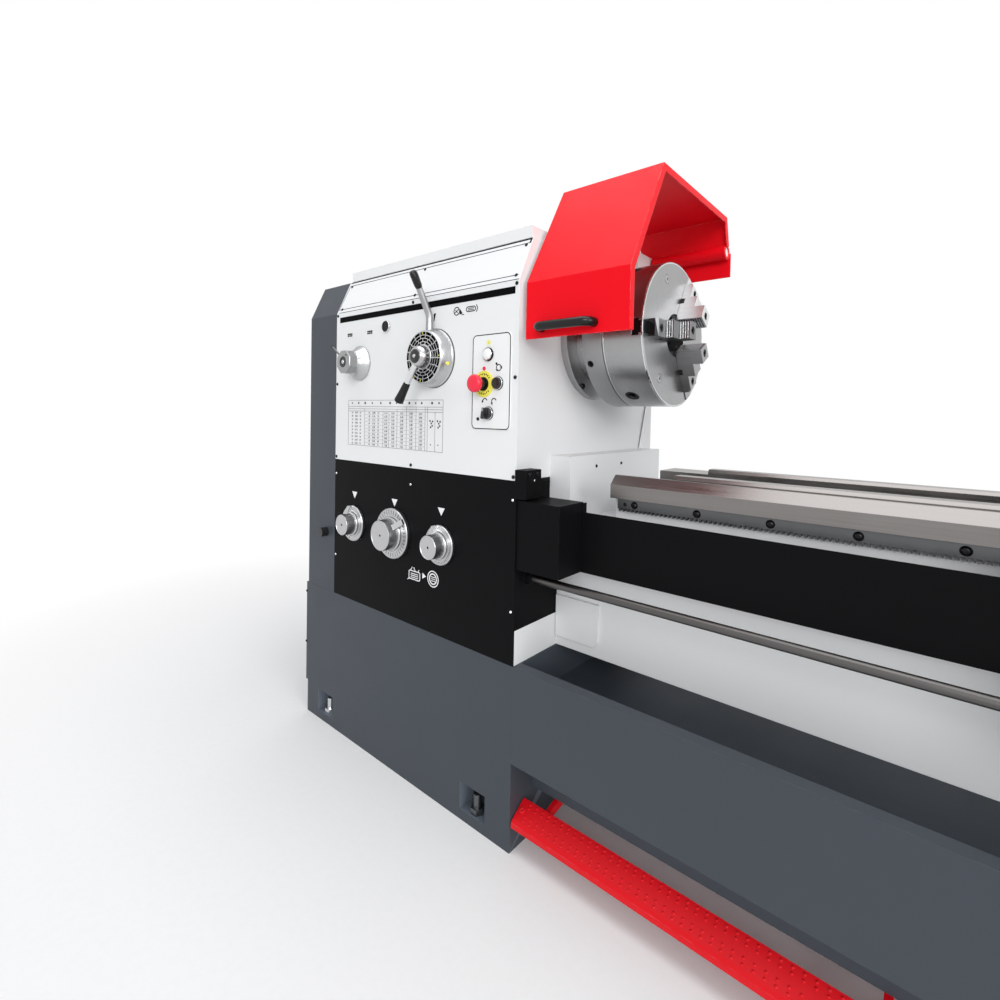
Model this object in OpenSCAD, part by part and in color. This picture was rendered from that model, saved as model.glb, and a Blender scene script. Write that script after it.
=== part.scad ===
// Manual engine lathe: bed with a gap, geared headstock, three-jaw chuck with a
// swing guard, carriage with compound slide, tailstock and two cabinet legs.
// Millimetres. +X runs from the headstock to the tailstock, -Y is the operator's
// side and +Z is up. The origin is on the floor, at the centre of the rectangle
// of the four outer anchor holes, straight below the spindle axis.

/* [Foundation] */
// Distance between the outer anchor holes along the bed
anchor_x = 2616; // [2500:4:2800]
// Distance between the front and rear anchor holes
anchor_y = 500; // [480:2:504]
// Diameter of the anchor holes
anchor_d = 22; // [18:1:26]
// Distance from an outer anchor hole to the end of its cabinet leg
anchor_inset = 117; // [105:1:125]
// Thread diameter of the levelling screws
level_d = 20; // [16:1:23]
// Distance from an anchor hole to the levelling screw beside it
level_gap = 36; // [30:1:38]

/* [Cabinet legs] */
// Height of the cabinet legs
leg_h = 420; // [380:2:440]
// Height of the plinth below the wider skin
plinth_h = 101; // [95:1:120]
// How far the skin stands out past the plinth at its ends
plinth_step = 11; // [6:1:16]
// Wall thickness of the legs
leg_wall = 8; // [6:0.5:12]
// Thickness of the foot flange
foot_t = 25; // [20:1:30]
// Height of the pockets over the anchor holes
pocket_h = 92; // [84:1:96]
// Length of the leg under the tailstock end
right_leg_w = 610; // [560:2:660]

/* [Chip tray] */
// Height of the lower edge of the tray's front skirt
skirt_z = 203; // [180:1:230]
// Height of the tray floor
tray_z = 330; // [300:1:350]
// Sheet thickness of the tray
tray_t = 3; // [2:0.5:5]
// Depth of the flange along the top of the skirt
tray_lip = 27; // [20:1:35]
// How far the toe plate under the tray stands behind the skirt
toe_inset = 78; // [72:1:84]
// Height of the toe plate's lower edge
toe_z = 114; // [113:1:150]

/* [Headstock] */
// Distance from the front plane back to the spindle axis
front_depth = 306; // [300:1:316]
// Distance from the spindle axis to the rear of the headstock
rear_depth = 345; // [330:1:370]
// Length of the headstock
head_w = 720; // [700:1:760]
// Height of the headstock's foot, where the two front panels meet
seat_z = 831; // [825:1:838]
// Height at which the front panel leans back
bend_z = 1270; // [1255:1:1285]
// Height of the headstock's top edge
head_z = 1373; // [1365:1:1385]
// How far the front leans back between the bend and the top edge
lean = 46; // [36:1:56]
// Wall thickness of the headstock casting
head_wall = 16; // [12:1:20]
// Thickness of the sheet panels
sheet = 4; // [3:0.5:5]
// Height of the raised top lid
lid_h = 27; // [20:1:35]
// Width of the end cover
end_cover_w = 149; // [135:1:155]

/* [Spindle] */
// Height of the spindle axis above the floor
spindle_z = 1169; // [1165:1:1175]
// Diameter of the bore through the spindle
spindle_bore = 105; // [80:1:110]
// Outer diameter of the spindle at its bearings
spindle_d = 150; // [140:1:160]
// Width of the spindle bearings
bearing_w = 45; // [35:1:50]
// Radial thickness of the spindle bearings
bearing_t = 32; // [25:1:36]
// Diameter of the front bearing cover
bearing_cover_d = 300; // [280:2:310]
// Thickness of the front bearing cover
bearing_cover_t = 18; // [14:1:24]
// Diameter of the spindle nose flange
nose_d = 225; // [200:1:235]
// Distance from the headstock's face to the chuck back plate
nose_x = 72; // [60:1:80]

/* [Chuck] */
// Diameter of the chuck
chuck_d = 334; // [315:1:340]
// Thickness of the chuck back plate
backplate_t = 53; // [45:1:58]
// Length of the chuck body
chuck_l = 98; // [90:1:110]
// Diameter of the bore through the chuck
chuck_bore = 100; // [80:1:104]
// Width of the master jaws
jaw_w = 36; // [30:1:40]
// Width of the hard top jaws
top_jaw_w = 38; // [34:1:44]
// Distance from the axis to the outer end of a top jaw
jaw_r = 140; // [136:1:146]

/* [Chuck guard] */
// Length of the chuck guard
guard_w = 250; // [230:1:270]
// Sheet thickness of the chuck guard
guard_t = 3; // [2:0.5:4]
// Radius of the guard's hinge shaft
guard_pin_r = 12; // [10:0.5:15]
// How far the guard's rear wall hangs below the shaft
guard_drop = 62; // [50:1:70]

/* [Feed gearbox] */
// Height of the lower edge of the gearbox casting
box_z = 498; // [470:1:520]
// Wall thickness of the gearbox casting
box_wall = 12; // [10:1:16]
// Height of the feed selector knobs
knob_z = 650; // [630:1:670]

/* [Screws and rods] */
// Diameter of the leadscrew
leadscrew_d = 36; // [30:1:40]
// Height of the leadscrew axis
leadscrew_z = 735; // [730:1:740]
// Diameter of the feed rod
feed_rod_d = 24; // [20:1:28]
// Height of the feed rod axis
feed_rod_z = 665; // [660:1:675]
// Diameter of the start and stop rod
start_rod_d = 18; // [16:1:20]
// Height of the start and stop rod axis
start_rod_z = 609; // [604:1:612]
// Distance from the front plane back to the leadscrew axis
screw_depth = 126; // [122:1:130]
// Distance from the front plane back to the start rod axis
start_rod_depth = 48; // [40:1:56]

/* [Screw guard] */
// Length of the housing that the screw guard slides into
guard_box_w = 114; // [100:1:130]
// Lower edge of the screw guard
screw_guard_z = 635; // [630:1:640]
// Height of the screw guard
screw_guard_h = 132; // [126:1:136]
// Thickness of the screw guard
screw_guard_t = 1.6; // [1:0.2:2]
// Distance from the front plane back to the screw guard
screw_guard_depth = 90; // [84:1:92]

/* [Bed] */
// Half the width of the bed over its outer ways
way_y = 170; // [166:1:176]
// Height of the crest of the front way
way_z = 847; // [843:1:850]
// Half the width of the bed over its walls
wall_y = 143; // [140:1:148]
// Thickness of the bed walls
bed_wall = 30; // [24:1:36]
// Half the width of the bed over the tailstock ways
inner_way_y = 122; // [116:1:124]
// Height of the tailstock ways
inner_way_z = 853; // [850:1:856]
// Half the gap between the tailstock ways
bed_slot = 80; // [70:1:90]
// Distance from the headstock's left edge to the start of the front way
way_start = 877; // [860:1:900]
// Distance from the headstock's left edge to the start of the tailstock ways
inner_way_start = 1000; // [980:1:1020]
// Height of the floor of the gap
gap_z = 734; // [700:1:745]
// Height of the underside of the outer ways
lip_z = 798; // [795:1:802]

/* [Carriage] */
// Place of the carriage's centre along the bed
carriage_x = 535; // [500:1:560]
// Length of the saddle along the bed
saddle_w = 480; // [440:2:500]
// Height of the top of the saddle
saddle_z = 915; // [905:1:925]
// Length of the apron
apron_w = 400; // [360:2:430]
// Height of the apron's lower edge
apron_z = 560; // [550:1:580]
// Width of the cross slide
cross_w = 220; // [200:2:240]
// Thickness of the cross slide
cross_h = 58; // [50:1:62]
// Length of the cross slide
cross_l = 420; // [380:2:440]
// Diameter of the compound rest's swivel base
swivel_d = 190; // [170:2:210]
// Length of the top slide
top_slide_l = 280; // [240:2:300]
// Width of the tool post
post_w = 120; // [110:1:130]
// Diameter of the carriage handwheel
wheel_d = 190; // [160:2:210]

/* [Tailstock] */
// Place of the tailstock's left end along the bed
tailstock_x = 1035; // [1010:1:1060]
// Length of the tailstock body
tailstock_w = 320; // [290:2:330]
// Diameter of the tailstock quill
quill_d = 80; // [70:1:90]
// Outer diameter of the tailstock barrel
barrel_d = 150; // [140:2:170]

/* [Brake] */
// Height of the brake pedal's pivot
brake_z = 118; // [110:1:126]
// Diameter of the brake pedal's pivot shaft
brake_d = 30; // [24:1:34]
// Depth of the pedal's tread
tread_w = 46; // [40:1:52]

/* [Drive] */
// Pitch diameter of the motor pulley
motor_pulley_d = 150; // [130:2:170]
// Pitch diameter of the headstock pulley
head_pulley_d = 300; // [270:2:320]
// Module of the headstock gears
gear_m = 4; // [3:0.5:4.5]

/* [Fits] */
// Radial clearance of a shaft that turns in its bearing
run_gap = 0.05; // [0.02:0.01:0.1]
// Clearance between faces that slide or pass
gap = 0.3; // [0.2:0.05:0.5]

/* [Hidden] */
$fn = 48;

// Main places along the machine
x0 = -anchor_x / 2 - anchor_inset;
x1 = anchor_x / 2 + anchor_inset;
hx = x0 + plinth_step + end_cover_w;
hr = hx + head_w;
right_leg_x = x1 - right_leg_w;
bed_x1 = x1 - 20;
fy = -front_depth;
ry = rear_depth;

// Bed
rail_x = hx + way_start;
rib_count = 4;
cover_low = leadscrew_z + leadscrew_d / 2 + 4;
gap_cover_w = 58;

// Foot flange and pockets
foot_rim = 20;
foot_front = -anchor_y / 2 + anchor_d / 2 + 8;
foot_rear = anchor_y / 2 - anchor_d / 2 - 8;
pocket_half = 41;
pocket_wall = 4;
left_pockets = [x0 + anchor_inset, hr - anchor_inset];
right_pockets = [right_leg_x + anchor_inset, x1 - anchor_inset];

// Belt drive, behind the end cover
gear_in = 38;
gear_out = 75;
drive_slope = 48;
centre_gap = gear_m * (gear_in + gear_out) / 2;
input_y = centre_gap * cos(drive_slope);
input_z = spindle_z - centre_gap * sin(drive_slope);
input_r = 22;
gear_x = hx + 330;
gear_w = 50;
pulley_w = 62;
pulley_x = hx - 36 - pulley_w;
belt_count = 3;
belt_pitch = 19;
belt_w = 12;
belt_t = 9;
groove_t = 11;
motor_z = 230;
motor_r = 118;
motor_shaft_r = 19;
motor_x = hx + 30;
motor_l = 290;
motor_foot_x = hx + 90;
motor_foot_l = 170;
shelf_z = 100;
brake_y = -150;

// Spindle line
bearing_r = spindle_d / 2 + bearing_t;
cover_x = hr + bearing_cover_t;
chuck_x = hr + nose_x;
body_x = chuck_x + backplate_t;
face_x = body_x + chuck_l;
jaw_angles = [180, 300, 60];
jaw_steps = [21, 38, 62];

// Chuck guard
guard_x = hr + 12;
guard_low = spindle_z - 28;
guard_bend = spindle_z + 93;
guard_top = spindle_z + 329;
guard_front = fy + 11;
guard_ridge = fy + 141;
guard_pin_y = 236;
guard_pin_z = spindle_z + 246;
guard_sleeve_r = guard_pin_r + 7;
guard_boss_r = 18;
guard_boss_w = 46;
guard_wall_y = guard_pin_y + guard_sleeve_r - guard_t / 2 - 1.3;
guard_path = [
    [guard_front, guard_low], [guard_front, guard_bend], [guard_ridge, guard_top],
    [guard_pin_y - 20, guard_top], [guard_pin_y, guard_pin_z + guard_sleeve_r - guard_t]
];

// Screws, rods and the screw guard
screw_y = fy + screw_depth;
start_rod_y = fy + start_rod_depth;
plate_y = fy + screw_guard_depth;
slot = 1.5;
rod_x = hr - 60;
bracket_x = bed_x1 - 65;
bracket_w = 34;
rod_end = bracket_x + bracket_w - 4;
guard_travel = 160;
plate_x = hr + guard_box_w - guard_travel;

// Carriage and tailstock
saddle_x = carriage_x - saddle_w / 2;
apron_x = carriage_x - apron_w / 2;
apron_front = fy + 14;
apron_top = way_z - 12;
rack_x = rail_x + 11;
rack_y = -wall_y - 13;
rack_pitch = 137;
rack_screws = [for (x = [rack_x + 40 : rack_pitch : bed_x1 - 60]) x];
dovetail_h = 20;
dovetail_w = 110;
cross_z = saddle_z + gap;
cross_top = cross_z + cross_h;
cross_y = -215;
rest_y = -35;
swivel_h = 34;
swivel_z = cross_top + gap;
swivel_top = swivel_z + swivel_h;
slide_tail_w = 60;
slide_tail_h = 16;
top_slide_w = 110;
slide_z = swivel_top + gap;
slide_h = 74;
slide_top = slide_z + slide_h;
slide_x = carriage_x - top_slide_l / 2;
post_x = carriage_x - 40;
post_h = spindle_z + 18 - slide_top;
post_z = slide_top + gap;
post_pin_r = 14;
handle_z = slide_z + 46;
cross_handle_z = saddle_z - 30;
wheel_x = apron_x + 85;
wheel_z = apron_z + 95;
lever_x = apron_x + apron_w + 28;
quill_tip = tailstock_x - 30;
tail_wheel_x = tailstock_x + tailstock_w + 22;
tail_base_z = inner_way_z + gap;

// Control places on the headstock's front, from its left edge and the floor
drum_p = [hx + 446, spindle_z - 56];
range_p = [hx + 126, spindle_z - 54];
cover_knob_p = [hx - 47, box_z + 103];
knob_p = [[hx + 106, knob_z], [hx + 294, knob_z], [hx + 481, knob_z]];
plate_p = [hx + 581, spindle_z - 229];
plate_size = [120, 220];
lamp_p = [hx + 633, spindle_z - 57];
stop_p = [hx + 620, spindle_z - 124];
jog_p = [hx + 663, spindle_z - 123];
selector_p = [hx + 635, spindle_z - 191];
glass_p = [hx + 250, spindle_z + 41];
drum_shaft_r = 22;
knob_shaft_r = 9;
button_r = 11;

// Solid helpers ---------------------------------------------------------------

// Box between two opposite corners
module block(a, b) {
    translate(a) cube(b - a);
}

// Cylinders that start at p and run along +X, +Y and +Z
module cyl_x(p, r, l) {
    translate(p) rotate([0, 90, 0]) cylinder(r = r, h = l);
}
module cyl_y(p, r, l) {
    translate(p) rotate([-90, 0, 0]) cylinder(r = r, h = l);
}
module cyl_z(p, r, l) {
    translate(p) cylinder(r = r, h = l);
}

// Cone along +Y
module cone_y(p, r1, r2, l) {
    translate(p) rotate([-90, 0, 0]) cylinder(r1 = r1, r2 = r2, h = l);
}

// Extrudes a Y-Z outline between two places along X
module prism_x(a, b) {
    translate([a, 0, 0]) rotate([90, 0, 90]) linear_extrude(b - a) children();
}

// Extrudes an X-Z outline between two places along Y
module prism_y(a, b) {
    translate([0, b, 0]) rotate([90, 0, 0]) linear_extrude(b - a) children();
}

// Extrudes an X-Y outline between two heights
module prism_z(a, b) {
    translate([0, 0, a]) linear_extrude(b - a) children();
}

// Round bar between two points
module rod(p, q, r) {
    d = q - p;
    l = norm(d);
    translate(p) rotate([0, acos(d.z / l), atan2(d.y, d.x)]) cylinder(r = r, h = l);
}

// Flat strip of thickness t between two points of the Y-Z plane, along X
module strip(p, q, t, a, b) {
    n = [p.y - q.y, q.x - p.x] * t / 2 / norm(q - p);
    prism_x(a, b) polygon([p + n, q + n, q - n, p - n]);
}

// Lip of width w on the inner side of a path in the Y-Z plane
module lip(p, q, w, a, b) {
    n = [p.y - q.y, q.x - p.x] * w / norm(q - p);
    prism_x(a, b) polygon([p, q, q - n, p - n]);
}

// Turned knob on the front plane: shaft, skirt and grip
module knob(p, skirt_r, skirt_t, grip_r, grip_l) {
    cyl_y([p.x, fy - gap - skirt_t, p.y], skirt_r, skirt_t);
    cone_y([p.x, fy - gap - skirt_t - grip_l, p.y], grip_r * 0.86, grip_r, grip_l + 1);
    cyl_y([p.x, fy - gap - 1, p.y], knob_shaft_r, 46);
}

// Straight-flanked gear in the Y-Z plane with a tooth centred on angle 0
module gear(teeth, bore, w) {
    pitch_r = gear_m * teeth / 2;
    function corner(i, r, half) = let (a = 360 * i / teeth + half / pitch_r * 180 / PI) [r * cos(a), r * sin(a)];
    root = pitch_r - 1.25 * gear_m;
    tip = pitch_r + 0.9 * gear_m;
    prism_x(0, w) difference() {
        polygon([for (i = [0 : teeth - 1]) for (c = [[root, -1.12], [tip, -0.36], [tip, 0.36], [root, 1.12]])
            corner(i, c[0], c[1] * gear_m)]);
        circle(r = bore);
    }
}

// Outline of a belt of thickness t around two pulleys, the lower one at the origin
module belt_outline(r1, r2, d) {
    a = asin((r2 - r1) / d);
    circle(r = r1);
    translate([0, d]) circle(r = r2);
    polygon([
        r1 * [cos(a), -sin(a)], [0, d] + r2 * [cos(a), -sin(a)],
        [0, d] + r2 * [-cos(a), -sin(a)], r1 * [-cos(a), -sin(a)]
    ]);
}

// Base and covers ---------------------------------------------------------------

module leg(left, right, left_step, right_step, pockets) {
    difference() {
        union() {
            difference() {
                union() {
                    block([left + left_step, fy, 0], [right - right_step, ry, plinth_h]);
                    block([left, fy, plinth_h], [right, ry, leg_h]);
                }
                block([left + anchor_inset + anchor_d / 2 + foot_rim, foot_front, -1],
                    [right - anchor_inset - anchor_d / 2 - foot_rim, foot_rear, foot_t + 1]);
                block([left + plinth_step + leg_wall, fy + leg_wall, foot_t],
                    [right - plinth_step - leg_wall, ry - leg_wall, leg_h - leg_wall]);
            }
            // Walls of the pockets
            for (x = pockets) {
                block([x - pocket_half - pocket_wall, fy + 1, foot_t - 2],
                    [x + pocket_half + pocket_wall, foot_front + pocket_wall, pocket_h + pocket_wall]);
                block([x - pocket_half - pocket_wall, foot_rear - pocket_wall, foot_t - 2],
                    [x + pocket_half + pocket_wall, ry - 1, pocket_h + pocket_wall]);
            }
        }
        for (x = pockets) {
            block([x - pocket_half, fy - 1, foot_t], [x + pocket_half, foot_front, pocket_h]);
            block([x - pocket_half, foot_rear, foot_t], [x + pocket_half, ry + 1, pocket_h]);
            for (side = [-1, 1]) {
                cyl_z([x, side * anchor_y / 2, -1], anchor_d / 2, foot_t + 2);
                cyl_z([x, side * (anchor_y / 2 + level_gap), -1], level_d / 2, foot_t + 2);
            }
        }
    }
}

module cabinet_legs() {
    color("slategray") {
        difference() {
            leg(x0, hr, plinth_step, 0, left_pockets);
            block([pulley_x - 12, input_y - head_pulley_d / 2 - 12, leg_h - leg_wall - 1],
                [pulley_x + pulley_w + 12, input_y + head_pulley_d / 2 + 12, leg_h + 1]);
            cyl_x([hr - leg_wall - 1, brake_y, brake_z], brake_d / 2 + run_gap, leg_wall + 2);
        }
        block([hx + 12, fy + leg_wall, shelf_z - 8], [hx + 352, ry - leg_wall, shelf_z]);
        difference() {
            leg(right_leg_x, x1, 0, plinth_step, right_pockets);
            cyl_x([right_leg_x - 1, brake_y, brake_z], brake_d / 2 + run_gap, plinth_step + leg_wall + 2);
        }
    }
}

module levelling_screws() {
    color("silver") for (x = concat(left_pockets, right_pockets), side = [-1, 1]) {
        p = [x, side * (anchor_y / 2 + level_gap), 0];
        cyl_z(p, level_d / 2, foot_t + 46);
        translate(p + [0, 0, foot_t]) cylinder(r = level_d * 0.85, h = level_d * 0.7, $fn = 6);
    }
}

module chip_tray() {
    left = hr + gap;
    right = right_leg_x - gap;
    color("darkslategray") {
        block([left, fy, skirt_z], [right, fy + tray_t, leg_h]);
        block([left, fy, leg_h - tray_t], [right, fy + tray_lip, leg_h]);
        block([left, fy, tray_z - tray_t], [right, ry, tray_z]);
        block([left, ry - tray_t, tray_z - tray_t], [right, ry, leg_h]);
        block([left, fy + toe_inset, toe_z], [right, fy + toe_inset + tray_t, tray_z - tray_t / 2]);
        for (x = [left, right - tray_t]) block([x, fy, tray_z - tray_t], [x + tray_t, ry, leg_h]);
    }
}

// Section of the front or rear rail: an outer way over a lip
module front_rail() {
    polygon([
        [-wall_y, lip_z], [-way_y, lip_z], [-way_y, way_z - 20], [-way_y + 20, way_z], [-way_y + 26, way_z],
        [-way_y + 38, way_z - 12], [-bed_slot, way_z - 12], [-bed_slot, lip_z]
    ]);
}
module rear_rail() {
    polygon([[wall_y, lip_z], [way_y, lip_z], [way_y, way_z - 6], [bed_slot, way_z - 6], [bed_slot, lip_z]]);
}
module inner_way(side) {
    polygon([
        [side * inner_way_y, way_z - 14], [side * inner_way_y, inner_way_z - 6],
        [side * (inner_way_y - 6), inner_way_z], [side * (bed_slot + 6), inner_way_z],
        [side * bed_slot, inner_way_z - 6], [side * bed_slot, way_z - 14]
    ]);
}

module bed() {
    color("gainsboro") {
        difference() {
            union() {
                block([hx, -wall_y, leg_h], [bed_x1, -wall_y + bed_wall, gap_z]);
                block([hx, wall_y - bed_wall, leg_h], [bed_x1, wall_y, gap_z]);
                block([hx, -wall_y, gap_z - 40], [rail_x, wall_y, gap_z]);
                // Seat of the headstock
                block([hx, -wall_y, gap_z], [hr - 8, wall_y, seat_z]);
                block([hx, fy + sheet, leg_h], [hr, -wall_y, box_z]);
                // Walls under the ways
                block([rail_x, -wall_y, gap_z], [bed_x1, -wall_y + bed_wall, lip_z]);
                block([rail_x, wall_y - bed_wall, gap_z], [bed_x1, wall_y, lip_z]);
                for (x = [hx, rail_x, bed_x1 - 24]) {
                    block([x, -wall_y, leg_h], [x + 24, wall_y, lip_z]);
                }
                for (k = [1 : rib_count]) {
                    x = rail_x + k * (bed_x1 - rail_x) / (rib_count + 1);
                    block([x - 9, -wall_y, leg_h + 130], [x + 9, wall_y, lip_z]);
                }
            }
            block([hx + 40, -wall_y + bed_wall, gap_z - 1], [hr - 48, wall_y - bed_wall, seat_z - 30]);
        }
        prism_x(rail_x, bed_x1) front_rail();
        prism_x(rail_x, bed_x1) rear_rail();
        for (side = [-1, 1]) prism_x(hx + inner_way_start, bed_x1) inner_way(side);
    }
}

module rack() {
    pitch = 3 * PI;
    teeth = floor((bed_x1 - 40 - rack_x) / pitch);
    top = lip_z - 1;
    root = top - 22;
    color("dimgray") difference() {
        prism_y(rack_y, -wall_y) polygon(concat(
            [[rack_x + teeth * pitch, root], [rack_x + teeth * pitch, top], [rack_x, top], [rack_x, root]],
            [for (i = [0 : teeth - 1]) for (c = [[2.6, 0], [3.8, -6], [5.6, -6], [6.8, 0]])
                [rack_x + i * pitch + c[0], root + c[1]]]
        ));
        for (x = rack_screws) cyl_y([x, rack_y - 1, top - 12], 8, 7);
    }
}

module bed_covers() {
    color("whitesmoke") {
        // Cover at the headstock's foot, over the gap
        prism_x(hr, hr + gap_cover_w) polygon([
            [-way_y - 11, cover_low], [-way_y - 11, gap_z + 148], [ry - 60, gap_z + 148],
            [ry - 60, gap_z], [-wall_y, gap_z], [-wall_y, cover_low]
        ]);
        // Plate on the front wall
        prism_y(-wall_y - 6, -wall_y) polygon([
            [hr + 2, 443], [hr + 111, 443], [hr + 119, 456], [hr + 119, 543], [hr + 2, 543]
        ]);
    }
}

module end_bracket() {
    color("whitesmoke") difference() {
        block([bracket_x, start_rod_y - 30, start_rod_z - 30], [bracket_x + bracket_w, -wall_y, leadscrew_z + 32]);
        cyl_x([bracket_x - 1, screw_y, leadscrew_z], leadscrew_d / 2 + run_gap, bracket_w + 2);
        cyl_x([bracket_x - 1, screw_y, feed_rod_z], feed_rod_d / 2 + run_gap, bracket_w + 2);
        cyl_x([bracket_x - 1, start_rod_y, start_rod_z], start_rod_d / 2 + run_gap, bracket_w + 2);
        block([bracket_x - 1, start_rod_y - 31, start_rod_z + 30], [bracket_x + bracket_w + 1, screw_y - 40, 900]);
    }
}

// Headstock -----------------------------------------------------------------------

module headstock_outline(t) {
    polygon([
        [fy + sheet + t, seat_z + t], [fy + sheet + t, bend_z - t * 0.2],
        [fy + lean + sheet + t * 1.1, head_z - t], [ry - t, head_z - t], [ry - t, seat_z + t]
    ]);
}

module headstock_casing() {
    color("whitesmoke") difference() {
        union() {
            difference() {
                prism_x(hx, hr) headstock_outline(0);
                prism_x(hx + head_wall, hr - head_wall) headstock_outline(head_wall);
            }
            for (x = [hx, hr - bearing_w - 6]) {
                cyl_x([x, 0, spindle_z], bearing_r + 14, bearing_w + 6);
            }
            for (x = [hx, gear_x + gear_w + 30]) {
                cyl_x([x, input_y, input_z], input_r + 16, 40);
            }
            block([gear_x + gear_w + 34, input_y - 18, seat_z + 4], [gear_x + gear_w + 66, input_y + 18, input_z - input_r - 8]);
        }
        for (x = [hx - 1, hr - bearing_w - 7]) cyl_x([x, 0, spindle_z], bearing_r, bearing_w + 8);
        cyl_x([hx - 1, input_y, input_z], input_r + run_gap, gear_x + gear_w + 100 - hx);
        cyl_y([drum_p.x, fy, drum_p.y], drum_shaft_r + run_gap, 40);
        cyl_y([range_p.x, fy, range_p.y], knob_shaft_r + run_gap, 60);
        for (p = [stop_p, jog_p, selector_p]) cyl_y([p.x, fy, p.y], button_r + 4, 60);
        cyl_y([glass_p.x, fy, glass_p.y], 12, 60);
    }
}

// Front panel with its leaning fascia, and the raised lid on top
module headstock_covers() {
    color("white") {
        difference() {
            prism_x(hx, hr) polygon([
                [fy, seat_z], [fy, bend_z], [fy + lean, head_z],
                [fy + lean + sheet, head_z], [fy + sheet, bend_z], [fy + sheet, seat_z]
            ]);
            cyl_y([drum_p.x, fy - 1, drum_p.y], drum_shaft_r + run_gap, sheet + 2);
            cyl_y([range_p.x, fy - 1, range_p.y], knob_shaft_r + run_gap, sheet + 2);
            for (p = [stop_p, jog_p, selector_p]) cyl_y([p.x, fy - 1, p.y], button_r + 4, sheet + 2);
            cyl_y([glass_p.x, fy - 1, glass_p.y], 12, sheet + 2);
        }
        block([hx + 14, fy + lean - 6 + sheet, head_z], [hr - 4, ry - 20, head_z + lid_h]);
    }
}

// Round-headed screws of the panels, the bearing cover and the rack
module screws() {
    color("black") {
        for (x = [hx + 7, hx + 360, hr - 8], z = [seat_z + 9, spindle_z - 110, bend_z - 8]) {
            if (z != spindle_z - 110 || x != hx + 360) cyl_y([x, fy - 3, z], 4.5, 3);
        }
        for (x = [hx + 7, hx + 360, hr - 8], z = [seat_z - 42, seat_z - 290]) {
            if (z != seat_z - 290 || x != hx + 360) cyl_y([x, fy - 3, z], 4.5, 3);
        }
        for (x = [hx + 20, hx + 360, hr - 15], s = [0.12, 0.84]) {
            translate([x, fy + lean * s, bend_z + (head_z - bend_z) * s])
                rotate([90 - atan(lean / (head_z - bend_z)), 0, 0]) cylinder(r = 4, h = 3);
        }
        for (a = [26 : 60 : 359]) {
            cyl_x([cover_x, 132 * cos(a), spindle_z + 132 * sin(a)], 7, 4);
        }
        for (x = rack_screws) cyl_y([x, rack_y, lip_z - 13], 7.6, 6);
        for (y = [-68, 56]) cyl_x([hr + gap_cover_w, y, gap_z + 120], 4, 3);
    }
}

module control_plate() {
    size = plate_size;
    color("whitesmoke") difference() {
        union() {
            block([plate_p.x, fy - 2, plate_p.y], [plate_p.x + size.x, fy, plate_p.y + size.y]);
            // Clear lamp in its bezel
            cyl_y([lamp_p.x, fy - 8, lamp_p.y], 15, 7);
            cyl_y([lamp_p.x, fy - 12, lamp_p.y], 10, 6);
            // Round label plate behind the stop button
            cyl_y([stop_p.x, fy - 4, stop_p.y], 30, 3);
        }
        for (p = [stop_p, jog_p, selector_p]) cyl_y([p.x, fy - 5, p.y], button_r + run_gap, 10);
    }
}

module oil_sight_glass() {
    color("silver") {
        cyl_y([glass_p.x, fy - 7, glass_p.y], 16, 7);
        cyl_y([glass_p.x, fy - 1, glass_p.y], 11.9, 24);
    }
}

module front_bearing_cover() {
    color("darkgray") difference() {
        cyl_x([hr, 0, spindle_z], bearing_cover_d / 2, bearing_cover_t);
        cyl_x([hr - 1, 0, spindle_z], spindle_d / 2 + 2, bearing_cover_t + 2);
    }
}

module spindle_bearings() {
    color("silver") for (x = [hx + 2, hr - bearing_w - 2]) difference() {
        cyl_x([x, 0, spindle_z], bearing_r, bearing_w);
        cyl_x([x - 1, 0, spindle_z], spindle_d / 2 + run_gap, bearing_w + 2);
        for (a = [0 : 20 : 359], side = [-1, bearing_w - 12]) {
            cyl_x([x + side, (spindle_d / 2 + bearing_t / 2) * cos(a), spindle_z + (spindle_d / 2 + bearing_t / 2) * sin(a)],
                bearing_t * 0.3, 13);
        }
    }
}

// Feed gearbox: black casting with its front plate
module feed_gearbox() {
    back = -wall_y - gap;
    color("black") {
        difference() {
            block([hx, fy + sheet, box_z], [hr, back, seat_z]);
            block([hx + box_wall, fy + sheet + box_wall, box_z + box_wall], [hr - box_wall, back - box_wall, seat_z - box_wall]);
            for (p = knob_p) cyl_y([p.x, fy, p.y], knob_shaft_r + run_gap, 40);
            cyl_x([rod_x, screw_y, leadscrew_z], leadscrew_d / 2 + run_gap, 70);
            cyl_x([rod_x, screw_y, feed_rod_z], feed_rod_d / 2 + run_gap, 70);
            cyl_x([rod_x, start_rod_y, start_rod_z], start_rod_d / 2 + run_gap, 70);
            block([hr - 30, plate_y - screw_guard_t - slot, screw_guard_z - slot],
                [hr + 1, plate_y + slot, screw_guard_z + screw_guard_h + slot]);
        }
        difference() {
            cyl_x([hr, start_rod_y, start_rod_z], start_rod_d / 2 + 7, 16);
            cyl_x([hr - 1, start_rod_y, start_rod_z], start_rod_d / 2 + run_gap, 18);
        }
        difference() {
            block([hx, fy, leg_h], [hr, fy + sheet, seat_z]);
            for (p = knob_p) cyl_y([p.x, fy - 1, p.y], knob_shaft_r + run_gap, sheet + 2);
        }
    }
}

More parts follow.
